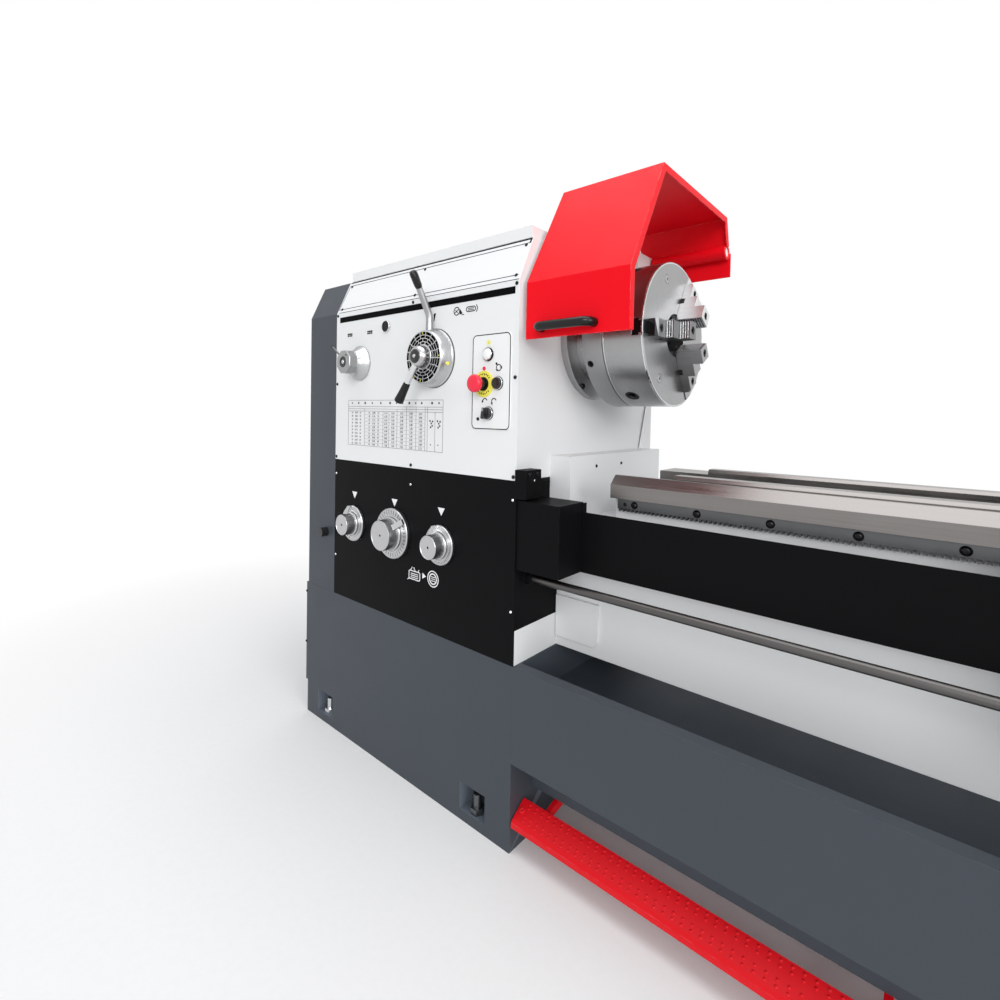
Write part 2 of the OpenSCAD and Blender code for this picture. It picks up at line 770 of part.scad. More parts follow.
// Housing at the gearbox's side that the screw guard slides into
module screw_guard_box() {
    back = plate_y + 5;
    top = screw_guard_z + 153;
    color("black") difference() {
        union() {
            block([hr, fy + 4.5, screw_guard_z], [hr + guard_box_w, back, top]);
            block([hr + guard_box_w, plate_y + slot + 0.5, screw_guard_z], [hr + guard_box_w + 3, back + 9, top - 2]);
        }
        block([hr - 1, fy + 7.5, screw_guard_z + 3], [hr + guard_box_w - 3, back - 8.5, top - 3]);
        block([hr - 1, plate_y - screw_guard_t - slot, screw_guard_z - 1],
            [hr + guard_box_w + 1, plate_y + slot, screw_guard_z + screw_guard_h + slot]);
    }
}

module guard_switch() {
    z = seat_z - 38;
    color("black") {
        difference() {
            block([hr, fy - 4, z], [hr + 30, fy + 51, z + 63]);
            for (y = [fy + 10, fy + 38]) cyl_x([hr + 24, y, z + 53], 5, 7);
        }
        cyl_y([hr + 15, fy + 50, z + 36], 3, 46);
    }
}

// Bracket and fixed shaft that carry the chuck guard
module guard_hinge() {
    r = guard_boss_r;
    color("whitesmoke") {
        block([hr, guard_pin_y - 92, guard_pin_z - 90], [hr + guard_boss_w, guard_pin_y, guard_pin_z + r]);
        cyl_x([hr, guard_pin_y, guard_pin_z], r, guard_boss_w);
        cyl_x([hr + 40, guard_pin_y, guard_pin_z], guard_pin_r, guard_w - 34);
    }
}

// Drive -----------------------------------------------------------------------------

// Pulley with one square groove for each belt
module pulley(x, y, z, pitch_d, bore_r) {
    difference() {
        cyl_x([x, y, z], pitch_d / 2 + 4, pulley_w);
        for (k = [0 : belt_count - 1]) difference() {
            cyl_x([x + groove_x(k), y, z], pitch_d / 2 + 5, belt_w + 2);
            cyl_x([x + groove_x(k) - 1, y, z], pitch_d / 2 + 4 - groove_t, belt_w + 4);
        }
        if (bore_r > 0) cyl_x([x - 1, y, z], bore_r, pulley_w + 2);
    }
}
function groove_x(k) = (pulley_w - (belt_count - 1) * belt_pitch - belt_w - 2) / 2 + k * belt_pitch;

module drive_belts() {
    r_low = motor_pulley_d / 2 + 4 - groove_t + gap * 2;
    r_high = head_pulley_d / 2 + 4 - groove_t + gap * 2;
    color("black") for (k = [0 : belt_count - 1]) {
        x = pulley_x + groove_x(k) + 1;
        translate([0, input_y, motor_z]) prism_x(x, x + belt_w) difference() {
            belt_outline(r_low + belt_t, r_high + belt_t, input_z - motor_z);
            belt_outline(r_low, r_high, input_z - motor_z);
        }
    }
}

module motor() {
    color("dimgray") difference() {
        union() {
            cyl_x([motor_x, input_y, motor_z], motor_r, motor_l);
            for (a = [-135 : 15 : 135]) translate([0, input_y, motor_z]) rotate([a, 0, 0])
                block([motor_x + 40, motor_r - 2, -2], [motor_x + motor_l - 40, motor_r + 7, 2]);
            block([motor_foot_x, input_y - motor_r + 23, shelf_z],
                [motor_foot_x + motor_foot_l, input_y + motor_r - 23, shelf_z + 16]);
            block([motor_foot_x + 30, input_y - 45, motor_z + motor_r - 6],
                [motor_foot_x + motor_foot_l - 50, input_y + 45, motor_z + motor_r + 40]);
        }
        cyl_x([motor_x - 1, input_y, motor_z], motor_shaft_r + run_gap, motor_l - 50);
    }
}

module motor_rotor() {
    color("silver") {
        cyl_x([pulley_x, input_y, motor_z], motor_shaft_r, motor_x + motor_l - 70 - pulley_x);
        pulley(pulley_x, input_y, motor_z, motor_pulley_d, 0);
    }
}

// First shaft of the headstock with its pulley and pinion
module input_shaft() {
    color("silver") {
        cyl_x([pulley_x, input_y, input_z], input_r, gear_x + gear_w + 68 - pulley_x);
        pulley(pulley_x, input_y, input_z, head_pulley_d, 0);
        translate([gear_x, input_y, input_z]) rotate([180 - drive_slope + 180 / gear_in, 0, 0])
            gear(gear_in, input_r - 1, gear_w);
    }
}

module spindle_gear() {
    color("silver") translate([gear_x, 0, spindle_z]) rotate([-drive_slope, 0, 0])
        gear(gear_out, spindle_d / 2, gear_w);
}

module spindle() {
    color("silver") difference() {
        union() {
            cyl_x([hx - 28, 0, spindle_z], spindle_d / 2, cover_x + 2 - (hx - 28));
            cyl_x([cover_x + gap, 0, spindle_z], nose_d / 2, chuck_x - cover_x - gap);
        }
        cyl_x([hx - 30, 0, spindle_z], spindle_bore / 2, chuck_x - hx + 32);
    }
}

// Chuck -------------------------------------------------------------------------------

module chuck_backplate() {
    r = chuck_d / 2;
    color("darkgray") difference() {
        union() {
            cyl_x([chuck_x, 0, spindle_z], r, backplate_t - 3);
            cyl_x([chuck_x, 0, spindle_z], r - 3, backplate_t);
        }
        cyl_x([chuck_x - 1, 0, spindle_z], spindle_bore / 2, backplate_t + 2);
        // Cam lock holes
        for (a = [26 : 60 : 359]) {
            cyl_around(chuck_x + 14, a, r - 26, 8, 30);
        }
    }
}

// Radial cylinder on the chuck at angle a about the spindle
module cyl_around(x, a, r_start, r, l) {
    translate([x, 0, spindle_z]) rotate([a, 0, 0]) cyl_y([0, r_start, 0], r, l);
}

module chuck_body() {
    r = chuck_d / 2;
    color("silver") difference() {
        cyl_x([body_x, 0, spindle_z], r, chuck_l);
        cyl_x([body_x - 1, 0, spindle_z], chuck_bore / 2, chuck_l + 2);
        for (a = jaw_angles) {
            translate([0, 0, spindle_z]) rotate([a, 0, 0]) {
                block([face_x - 26 - gap, 30, -jaw_w / 2 - gap], [face_x - 10 + gap, r + 2, jaw_w / 2 + gap]);
                block([face_x - 12, 30, -jaw_w / 2 + 5 - gap], [face_x + 1, r + 2, jaw_w / 2 - 5 + gap]);
            }
            // Key sockets and the screws that hold the back plate
            cyl_around(body_x + 34, a + 60, r - 16, 12, 20);
            cyl_x([face_x - 20, 132 * cos(a + 53), spindle_z + 132 * sin(a + 53)], 8, 21);
        }
    }
}

// Master jaw with its stepped top jaw, along +Y before it is turned to angle a
module jaw(a) {
    inner = jaw_r - 108;
    half = top_jaw_w / 2;
    color("dimgray") translate([0, 0, spindle_z]) rotate([a, 0, 0]) {
        block([face_x - 26, inner + 2, -jaw_w / 2], [face_x - 10, chuck_d / 2 - 3, jaw_w / 2]);
        block([face_x - 11, inner + 2, -jaw_w / 2 + 5], [face_x + 2, chuck_d / 2 - 3, jaw_w / 2 - 5]);
        difference() {
            prism_z(-half, half) polygon([
                [face_x + gap, inner], [face_x + jaw_steps[2], inner], [face_x + jaw_steps[2], inner + 34],
                [face_x + jaw_steps[1], inner + 34], [face_x + jaw_steps[1], inner + 65],
                [face_x + jaw_steps[0], inner + 65], [face_x + jaw_steps[0], jaw_r - 6],
                [face_x + jaw_steps[0] - 6, jaw_r], [face_x + gap, jaw_r]
            ]);
            for (p = [[jaw_steps[2], inner + 17], [jaw_steps[0], jaw_r - 20]]) {
                cyl_x([face_x + p.x - 14, p.y, 0], 9, 15);
            }
            // Ends of the cross key between the top jaw and the master jaw
            for (side = [-1, 1]) {
                block([face_x, jaw_r - 60, side * half - 6], [face_x + 9, jaw_r - 45, side * half + 6]);
            }
        }
    }
}

module front_jaw() { jaw(jaw_angles[0]); }
module lower_jaw() { jaw(jaw_angles[1]); }
module upper_jaw() { jaw(jaw_angles[2]); }

module chuck_guard() {
    right = guard_x + guard_w;
    color("crimson") {
        difference() {
            union() {
                for (i = [0 : len(guard_path) - 2]) {
                    strip(guard_path[i], guard_path[i + 1], guard_t, guard_x, right);
                    lip(guard_path[i], guard_path[i + 1], 14, right - guard_t, right);
                }
                for (p = guard_path) cyl_x([guard_x, p.x, p.y], guard_t / 2, guard_w);
                cyl_x([hr + 50, guard_pin_y, guard_pin_z], guard_sleeve_r, right - hr - 54);
                strip([guard_wall_y, guard_pin_z], [guard_wall_y, guard_pin_z - guard_drop], guard_t,
                    hr + guard_boss_w + gap + 1, right);
            }
            cyl_x([guard_x - 1, guard_pin_y, guard_pin_z], guard_pin_r + run_gap, guard_w + 2);
            block([hr - 1, guard_pin_y - 40, guard_pin_z - 60],
                [hr + guard_boss_w + gap, guard_pin_y, guard_pin_z + guard_boss_r + gap]);
            cyl_x([hr - 1, guard_pin_y, guard_pin_z], guard_boss_r + gap, guard_boss_w + 1 + gap);
        }
    }
}

// Bow handle on the guard's lower edge
module guard_handle() {
    r = 10;
    y = guard_front - guard_t / 2;
    bar_y = y - 24;
    z = guard_low + 20;
    a = guard_x + 44;
    b = a + 128;
    color("black") {
        for (x = [a, b]) {
            cyl_y([x, bar_y, z], r, y - bar_y);
            translate([x, bar_y, z]) sphere(r = r);
        }
        cyl_x([a, bar_y, z], r, b - a);
    }
}

// Covers and controls --------------------------------------------------------------------

module end_cover() {
    t = sheet;
    outer = hx - gap;
    z = leg_h + gap;
    color("slategray") difference() {
        prism_x(hx - end_cover_w, outer) polygon([
            [fy, z], [fy, bend_z], [fy + lean, head_z], [ry, head_z], [ry, z]
        ]);
        prism_x(hx - end_cover_w + t, hx) polygon([
            [fy + t, z - 1], [fy + t, bend_z - 1], [fy + lean + t, head_z - t], [ry - t, head_z - t], [ry - t, z - 1]
        ]);
        // Way in for bar stock
        cyl_x([hx - end_cover_w - 1, 0, spindle_z], spindle_bore / 2 + 8, t + 2);
        cyl_y([cover_knob_p.x, fy - 1, cover_knob_p.y], 5 + run_gap, t + 2);
    }
}

module end_cover_knob() {
    color("black") {
        cyl_y([cover_knob_p.x, fy - 22, cover_knob_p.y], 14, 22 - gap);
        cyl_y([cover_knob_p.x, fy - 2, cover_knob_p.y], 5, 20);
    }
}

// Drum with a dial on its face and the bent lever that turns it
module speed_drum() {
    x = drum_p.x;
    z = drum_p.y;
    color("silver") difference() {
        union() {
            cyl_y([x, fy - gap - 6, z], 73, 6);
            cone_y([x, fy - 38, z], 65, 70, 34);
            cyl_y([x, fy - 10, z], drum_shaft_r, 46);
            cyl_y([x, fy - 38, z], 40, 30);
            rod([x, fy - 18, z + 50], [x, fy - 18, z + 108], 9);
            translate([x, fy - 18, z + 108]) sphere(r = 9);
            rod([x, fy - 18, z + 108], [x - 2, fy - 52, z + 170], 9);
            rod([x - 2, fy - 52, z + 168], [x - 4, fy - 74, z + 208], 15);
        }
        cyl_y([x, fy - 60, z], knob_shaft_r + 3 + run_gap, 110);
    }
}

// Lever on the drum's face, on a shaft through the drum
module speed_lever() {
    x = drum_p.x;
    z = drum_p.y;
    color("silver") {
        cyl_y([x, fy - 62, z], 27, 24 - gap);
        cyl_y([x, fy - 66, z], 17, 5);
        cyl_y([x, fy - 40, z], knob_shaft_r + 3, 80);
        rod([x - 6, fy - 52, z - 16], [x - 33, fy - 60, z - 68], 8);
        rod([x - 31, fy - 59, z - 64], [x - 60, fy - 66, z - 116], 13);
    }
}

module range_knob() {
    x = range_p.x;
    z = range_p.y;
    color("silver") {
        cone_y([x, fy - gap - 34, z], 34, 50, 34);
        cyl_y([x, fy - 58, z], 33, 25);
        cyl_y([x, fy - gap - 1, z], knob_shaft_r, 46);
        rod([x - 14, fy - 50, z + 14], [x - 52, fy - 56, z + 44], 6);
    }
}

module left_feed_knob() {
    color("silver") knob(knob_p[0], 52, 10, 31, 34);
}
module middle_feed_knob() {
    color("silver") knob(knob_p[1], 68, 12, 42, 36);
}
module right_feed_knob() {
    color("silver") knob(knob_p[2], 50, 10, 31, 34);
}

// Plunger of a push button in the control plate, its cap's underside at y
module plunger(p, y, r, l) {
    cyl_y([p.x, y - l, p.y], r, l);
    cyl_y([p.x, y - 1, p.y], button_r, fy + 20 - y);
}

module stop_button() {
    color("red") {
        plunger(stop_p, fy - 9, 15, 10);
        cyl_y([stop_p.x, fy - 40, stop_p.y], 20, 14);
        cone_y([stop_p.x, fy - 27, stop_p.y], 20, 14, 10);
    }
}

module jog_button() {
    color("black") plunger(jog_p, fy - 6, 13, 4);
}

module selector_switch() {
    color("black") {
        cyl_y([selector_p.x, fy - 12, selector_p.y], 14, 9);
        cyl_y([selector_p.x, fy - 5, selector_p.y], button_r, 25);
        translate([selector_p.x, 0, selector_p.y]) rotate([0, 30, 0]) block([-3.5, fy - 24, -13], [3.5, fy - 11, 13]);
    }
}

// Foot brake: a long tread between the legs on arms from its pivot shaft
module brake_pedal() {
    left = hr + 3;
    right = right_leg_x - 3;
    color("red") {
        prism_x(left, right) polygon([
            [fy + 1, 60], [fy + 1, 72], [fy + 7, 78], [fy + tread_w, 104], [fy + tread_w + 4, 98], [fy + 8, 62]
        ]);
        for (x = [left + 60, (left + right) / 2, right - 80]) {
            prism_x(x, x + 12) polygon([
                [fy + tread_w - 8, 92], [fy + tread_w + 2, 101], [brake_y, brake_z + 12], [brake_y, brake_z - 12], [fy + tread_w - 4, 84]
            ]);
        }
    }
    color("dimgray") cyl_x([hr - leg_wall + 1, brake_y, brake_z], brake_d / 2,
        right_leg_x - hr + leg_wall * 2 - 2);
}

// Screws and rods --------------------------------------------------------------------------

module leadscrew() {
    color("gray") cyl_x([rod_x, screw_y, leadscrew_z], leadscrew_d / 2, rod_end - rod_x);
}
module feed_rod() {
    color("gray") difference() {
        cyl_x([rod_x, screw_y, feed_rod_z], feed_rod_d / 2, rod_end - rod_x);
        block([hr + 8, screw_y - 3, feed_rod_z + feed_rod_d / 2 - 4], [bracket_x - 8, screw_y + 3, feed_rod_z + feed_rod_d]);
    }
}
module start_rod() {
    color("gray") cyl_x([rod_x, start_rod_y, start_rod_z], start_rod_d / 2, rod_end - rod_x);
}

// Carriage ------------------------------------------------------------------------------------

module saddle() {
    rear = way_y + 35;
    color("whitesmoke") difference() {
        union() {
            prism_x(saddle_x, saddle_x + saddle_w) polygon([
                [apron_front, saddle_z - dovetail_h], [apron_front, apron_top],
                [-way_y + 8 - gap * 1.5, apron_top], [-way_y + 20 - gap, way_z + gap],
                [-way_y + 26 + gap, way_z + gap], [-way_y + 38 + gap, way_z - 12 + gap],
                [-inner_way_y - 2, way_z - 12 + gap], [-inner_way_y - 2, inner_way_z + 3],
                [inner_way_y + 2, inner_way_z + 3], [inner_way_y + 2, way_z - 6 + gap],
                [way_y + gap, way_z - 6 + gap], [way_y + gap, lip_z - gap], [wall_y + 4, lip_z - gap],
                [wall_y + 4, lip_z - 18], [rear, lip_z - 18], [rear, saddle_z - dovetail_h]
            ]);
            prism_y(apron_front, rear) dovetail(carriage_x, saddle_z - dovetail_h - 1, saddle_z, dovetail_w);
        }
        // Waist of the saddle's H
        for (side = [-1, 1]) {
            a = carriage_x + side * (saddle_w / 2 + 1);
            b = carriage_x + side * 135;
            block([min(a, b), -inner_way_y + 8, 800], [max(a, b), inner_way_y - 8, saddle_z]);
        }
        cyl_y([carriage_x, apron_front - 1, cross_handle_z], 10 + run_gap, 62);
    }
}

// Dovetail outline about x, wider at the top
module dovetail(x, low, high, w) {
    polygon([[x - w / 2 + 8, low], [x - w / 2, high], [x + w / 2, high], [x + w / 2 - 8, low]]);
}

module apron() {
    back = -wall_y - 7;
    color("whitesmoke") {
        difference() {
            union() {
                block([apron_x, apron_front, apron_z], [apron_x + apron_w, -way_y - 2, apron_top]);
                block([apron_x, -way_y - 3, apron_z], [apron_x + apron_w, back, leadscrew_z + leadscrew_d / 2 + 9]);
            }
            block([apron_x + 14, apron_front + 14, apron_z + 14], [apron_x + apron_w - 14, back - 12, apron_top - 60]);
            cyl_x([apron_x - 1, screw_y, leadscrew_z], leadscrew_d / 2 + gap, apron_w + 2);
            cyl_x([apron_x - 1, screw_y, feed_rod_z], feed_rod_d / 2 + gap, apron_w + 2);
            cyl_x([apron_x - 1, start_rod_y, start_rod_z], start_rod_d / 2 + gap, apron_w + 2);
            cyl_y([wheel_x, apron_front - 1, wheel_z], 12 + run_gap, 16);
        }
        // Half-nut and feed levers, with their bosses
        for (p = [[apron_x + 330, apron_z + 130], [apron_x + 230, apron_z + 90]]) {
            cyl_y([p.x, apron_front - 16, p.y], 20, 16);
            rod([p.x, apron_front - 12, p.y], [p.x + 10, apron_front - 30, p.y - 70], 7);
            translate([p.x + 10, apron_front - 30, p.y - 70]) sphere(r = 14);
        }
    }
}

module screw_guard() {
    color("black") {
        block([plate_x, plate_y - screw_guard_t, screw_guard_z], [apron_x, plate_y, screw_guard_z + screw_guard_h]);
    }
}

// Rim, spokes and handle of a wheel on the -Y side, about p
module front_wheel(p, d, pin) {
    difference() {
        cyl_y([p.x, p.y - 34, p.z], d / 2, 18);
        cyl_y([p.x, p.y - 35, p.z], d / 2 - 14, 20);
    }
    for (a = [30, 150, 270]) {
        translate(p) rotate([0, a, 0]) block([0, -31, -7], [d / 2 - 8, -20, 7]);
    }
    cyl_y([p.x, p.y - 38, p.z], 22, 37);
    cyl_y([p.x, p.y - 2, p.z], pin, 15);
    cyl_y([p.x + d / 2 - 12, p.y - 100, p.z], 9, 70);
}

module carriage_handwheel() {
    color("silver") front_wheel([wheel_x, apron_front, wheel_z], wheel_d, 12);
}

// Start lever at the apron's side, keyed to the start rod
module start_lever() {
    color("black") {
        difference() {
            cyl_x([lever_x - 14, start_rod_y, start_rod_z], start_rod_d / 2 + 12, 28);
            cyl_x([lever_x - 15, start_rod_y, start_rod_z], start_rod_d / 2 + gap, 30);
        }
        rod([lever_x, start_rod_y - 16, start_rod_z + 6], [lever_x, start_rod_y - 70, start_rod_z + 40], 7);
        rod([lever_x, start_rod_y - 68, start_rod_z + 38], [lever_x + 4, start_rod_y - 80, start_rod_z + 130], 11);
    }
}

module cross_slide() {
    color("gray") difference() {
        prism_y(cross_y, cross_y + cross_l) difference() {
            polygon([
                [carriage_x - cross_w / 2, cross_z - dovetail_h], [carriage_x - cross_w / 2, cross_top],
                [carriage_x + cross_w / 2, cross_top], [carriage_x + cross_w / 2, cross_z - dovetail_h]
            ]);
            polygon([
                [carriage_x - dovetail_w / 2 + 7, cross_z - dovetail_h - 1],
                [carriage_x - dovetail_w / 2 - 1, cross_z],
                [carriage_x + dovetail_w / 2 + 1, cross_z],
                [carriage_x + dovetail_w / 2 - 7, cross_z - dovetail_h - 1]
            ]);
        }
        cyl_z([carriage_x, rest_y, cross_top - 14], 30 + run_gap, 20);
        for (y = [cross_y + 70, cross_y + cross_l - 60]) {
            block([carriage_x - cross_w / 2 - 1, y, cross_top - 12], [carriage_x + cross_w / 2 + 1, y + 16, cross_top + 1]);
        }
    }
}

module cross_slide_handle() {
    p = [carriage_x, apron_front, cross_handle_z];
    color("silver") {
        cyl_y([p.x, p.y - 30, p.z], 32, 29);
        cyl_y([p.x, p.y - 2, p.z], 10, 60);
        rod([p.x - 45, p.y - 30, p.z - 12], [p.x + 45, p.y - 30, p.z + 12], 8);
        cyl_y([p.x + 46, p.y - 92, p.z + 12], 10, 64);
    }
}

// Swivel base of the compound rest, with the dovetail of the top slide
module swivel_base() {
    color("gray") {
        cyl_z([carriage_x, rest_y, cross_top - 12], 30, 14);
        cyl_z([carriage_x, rest_y, swivel_z], swivel_d / 2, swivel_h - slide_tail_h);
        prism_x(carriage_x - swivel_d / 2 + 15, carriage_x + swivel_d / 2 - 15)
            dovetail(rest_y, swivel_top - slide_tail_h - 1, swivel_top, slide_tail_w + 16);
    }
}

module top_slide() {
    low = swivel_top - slide_tail_h + gap;
    color("gray") {
        difference() {
            prism_x(slide_x, slide_x + top_slide_l) difference() {
                polygon([
                    [rest_y - top_slide_w / 2, low], [rest_y - top_slide_w / 2, slide_top],
                    [rest_y + top_slide_w / 2, slide_top], [rest_y + top_slide_w / 2, low]
                ]);
                polygon([
                    [rest_y - slide_tail_w / 2 - 1, low - 1], [rest_y - slide_tail_w / 2 - 9, slide_z],
                    [rest_y + slide_tail_w / 2 + 9, slide_z], [rest_y + slide_tail_w / 2 + 1, low - 1]
                ]);
            }
            cyl_x([slide_x + top_slide_l - 40, rest_y, handle_z], 9 + run_gap, 41);
        }
        cyl_z([post_x, rest_y, slide_top], post_pin_r, post_h + 30);
    }
}

module top_slide_handle() {
    x = slide_x + top_slide_l;
    color("silver") {
        cyl_x([x + 1, rest_y, handle_z], 26, 24);
        cyl_x([x - 38, rest_y, handle_z], 9, 40);
        rod([x + 16, rest_y - 40, handle_z], [x + 16, rest_y + 40, handle_z], 7);
        cyl_x([x + 5, rest_y - 42, handle_z], 9, 68);
    }
}

// Four-way tool post with its clamping screws and lever
module tool_post() {
    top = post_z + post_h;
    color("dimgray") {
        difference() {
            union() {
                block([post_x - post_w / 2, rest_y - post_w / 2, post_z], [post_x + post_w / 2, rest_y + post_w / 2, top]);
                cyl_z([post_x, rest_y, top - 1], 24, 25);
            }
            for (a = [0 : 90 : 270]) translate([post_x, rest_y, post_z]) rotate([0, 0, a])
                block([-post_w / 2 - 1, post_w / 2 - 26, post_h * 0.3], [post_w / 2 + 1, post_w / 2 + 1, post_h * 0.3 + 33]);
            cyl_z([post_x, rest_y, post_z - 1], post_pin_r + run_gap, post_h + 60);
        }
        for (a = [0 : 90 : 270], s = [-0.34, 0, 0.34]) translate([post_x, rest_y, 0]) rotate([0, 0, a])
            cyl_z([s * post_w, post_w / 2 - 13, top - 1], 7, 16);
        rod([post_x + 18, rest_y - 12, top + 12], [post_x + 92, rest_y - 62, top + 52], 8);
        rod([post_x + 90, rest_y - 61, top + 51], [post_x + 122, rest_y - 83, top + 68], 14);
    }
}

// Tailstock --------------------------------------------------------------------------------------

module tailstock() {
    a = tailstock_x;
    b = tailstock_x + tailstock_w;
    color("whitesmoke") difference() {
        union() {
            block([a + 10, -inner_way_y + 4, tail_base_z], [b - 10, inner_way_y - 4, tail_base_z + 62]);
            block([a + 30, -bed_slot + gap, tail_base_z - 30], [b - 30, bed_slot - gap, tail_base_z + 1]);
            prism_x(a + 30, b - 30) polygon([
                [-95, tail_base_z + 60], [-barrel_d / 2 + 6, spindle_z - 20], [-barrel_d / 2 + 6, spindle_z],
                [barrel_d / 2 - 6, spindle_z], [barrel_d / 2 - 6, spindle_z - 20], [95, tail_base_z + 60]
            ]);
            cyl_x([a, 0, spindle_z], barrel_d / 2, tailstock_w);
            // Quill lock and bed clamp levers
            cyl_z([a + 60, 0, spindle_z + barrel_d / 2 - 6], 16, 26);
            rod([a + 60, 0, spindle_z + barrel_d / 2 + 12], [a + 100, -70, spindle_z + barrel_d / 2 + 52], 8);
            cyl_y([b - 70, -inner_way_y - 18, tail_base_z + 100], 18, 60);
            rod([b - 70, -inner_way_y - 10, tail_base_z + 108], [b - 50, -inner_way_y - 28, tail_base_z + 236], 9);
        }
        cyl_x([a - 1, 0, spindle_z], quill_d / 2 + run_gap, tailstock_w - 30);
        cyl_x([a, 0, spindle_z], 16 + run_gap, tailstock_w + 2);
    }
}

module quill() {
    l = tailstock_w - 40;
    color("silver") difference() {
        cyl_x([quill_tip, 0, spindle_z], quill_d / 2, l);
        // Taper socket, and the bore around the screw
        translate([quill_tip - 0.1, 0, spindle_z]) rotate([0, 90, 0]) cylinder(r1 = 22, r2 = 18, h = 120);
        cyl_x([quill_tip + 100, 0, spindle_z], 17, l);
    }
}

module tailstock_handwheel() {
    b = tail_wheel_x;
    color("silver") {
        difference() {
            cyl_x([b, 0, spindle_z], 115, 18);
            cyl_x([b - 1, 0, spindle_z], 101, 20);
        }
        for (a = [30, 150, 270]) translate([b, 0, spindle_z]) rotate([a, 0, 0]) block([4, 0, -8], [15, 107, 8]);
        cyl_x([b - 21, 0, spindle_z], 28, 42);
        cyl_x([b - 190, 0, spindle_z], 16, 180);
        cyl_x([b + 8, 103, spindle_z], 9, 80);
    }
}

// The parts, one node each ------------------------------------------------------------------

cabinet_legs();
chip_tray();
levelling_screws();
bed();
rack();
bed_covers();
end_bracket();
headstock_casing();
headstock_covers();
screws();
control_plate();
oil_sight_glass();
front_bearing_cover();
spindle_bearings();
feed_gearbox();
screw_guard_box();
guard_switch();
guard_hinge();
motor();
drive_belts();
spindle();
spindle_gear();
chuck_backplate();
chuck_body();
front_jaw();
lower_jaw();
upper_jaw();
chuck_guard();
guard_handle();
end_cover();
end_cover_knob();
speed_drum();
speed_lever();
range_knob();
left_feed_knob();
middle_feed_knob();
right_feed_knob();
stop_button();
jog_button();
selector_switch();
brake_pedal();
leadscrew();
feed_rod();
start_rod();
saddle();
apron();
screw_guard();
carriage_handwheel();
start_lever();
cross_slide();
cross_slide_handle();
swivel_base();
top_slide();
top_slide_handle();
tool_post();
tailstock();
quill();
tailstock_handwheel();
input_shaft();
motor_rotor();
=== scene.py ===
"""Dresses a manual gap-bed lathe: finishes, dials, screws and printed marks.

Sizes inside the shapes are millimetres. The machine's frame is in metres: +X runs
from the headstock to the tailstock, -Y is the operator's side and +Z is up.
"""

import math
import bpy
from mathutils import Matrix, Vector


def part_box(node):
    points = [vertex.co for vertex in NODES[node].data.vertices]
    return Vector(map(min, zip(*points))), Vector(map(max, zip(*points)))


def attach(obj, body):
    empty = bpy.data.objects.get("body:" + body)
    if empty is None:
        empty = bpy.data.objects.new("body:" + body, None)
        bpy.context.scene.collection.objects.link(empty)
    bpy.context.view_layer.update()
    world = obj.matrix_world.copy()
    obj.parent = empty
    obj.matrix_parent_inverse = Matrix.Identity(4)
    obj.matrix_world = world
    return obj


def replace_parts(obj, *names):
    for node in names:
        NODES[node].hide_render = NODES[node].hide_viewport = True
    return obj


bl_info = {
    "name": "Gap-Bed Lathe Dressing",
    "version": (1, 0, 0),
    "blender": (4, 5, 0),
    "location": "3D View > Sidebar > Lathe",
    "description": "Finishes, dials, screws and printed marks of a manual lathe",
    "category": "Object",
}

import bmesh
import bpy
from bpy.props import FloatProperty, FloatVectorProperty, IntProperty, PointerProperty
from mathutils import Matrix, Vector

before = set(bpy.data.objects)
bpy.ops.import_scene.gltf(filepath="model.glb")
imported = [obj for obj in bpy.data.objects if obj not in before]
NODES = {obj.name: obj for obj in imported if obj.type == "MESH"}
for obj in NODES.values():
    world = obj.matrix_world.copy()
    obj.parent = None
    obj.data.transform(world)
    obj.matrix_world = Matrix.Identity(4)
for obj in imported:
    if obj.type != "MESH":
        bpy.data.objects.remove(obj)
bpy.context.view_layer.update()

# Main places, from the solids, in metres
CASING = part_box("headstock_casing")
LEFT = CASING[0].x
RIGHT = CASING[1].x
FRONT_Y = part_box("feed_gearbox")[0].y
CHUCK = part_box("chuck_body")
SPINDLE_Z = (CHUCK[0].z + CHUCK[1].z) / 2
PANEL_W = (RIGHT - LEFT) * 1000
HEAD_Z = CASING[1].z
# Height at which the fascia starts to lean back, and how far it leans
BEND_Z = SPINDLE_Z + 0.101
LEAN = 0.046
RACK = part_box("rack")
WAY_LIP = RACK[1].z + 0.001
BED_FROM = RACK[0].x - 0.012
# Heights of the tray's floor and of the screw pockets, which bound the lighter slate painted inside the tray
# and the pockets as painted light, and where the front jaw's dark end begins, painted shade
TRAY_FLOOR = 0.3285
POCKET_TOP = 0.125
JAW_PAINTED_SHADE_FROM = 0.137
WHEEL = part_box("speed_drum")
DRUM = Vector((WHEEL[1].x - 0.073, FRONT_Y, WHEEL[0].z + 0.073))
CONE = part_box("range_knob")
RANGE = Vector((CONE[1].x - 0.050, FRONT_Y, CONE[0].z + 0.050))
KNOB_HEIGHT = (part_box("left_feed_knob")[0].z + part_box("left_feed_knob")[1].z) / 2
GAP_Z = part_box("bed_covers")[1].z - 0.148

# Ways a shape can face: columns are its local X, Y and Z in the machine's frame
TO_FRONT = Matrix(((1, 0, 0), (0, 0, -1), (0, 1, 0)))
TO_RIGHT = Matrix(((0, 0, 1), (1, 0, 0), (0, 1, 0)))
TO_TOP = Matrix.Identity(3)
ORIGIN = (0, 0)
# Radius, in mm, that closes a turned shape at its axis
TIP = 0.01


def centre(node):
    """Middle of a solid's box."""
    low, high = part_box(node)
    return (low + high) / 2


def on_panel(x, z, out=0.0):
    """A place on the front panel, in mm from its left edge and from the floor."""
    return Vector((LEFT + x / 1000, FRONT_Y - out / 1000, z / 1000))


# Settings ----------------------------------------------------------------------------


def paint(name, description, default):
    return FloatVectorProperty(name=name, description=description, subtype="COLOR", size=3, min=0, max=1,
                               default=default)


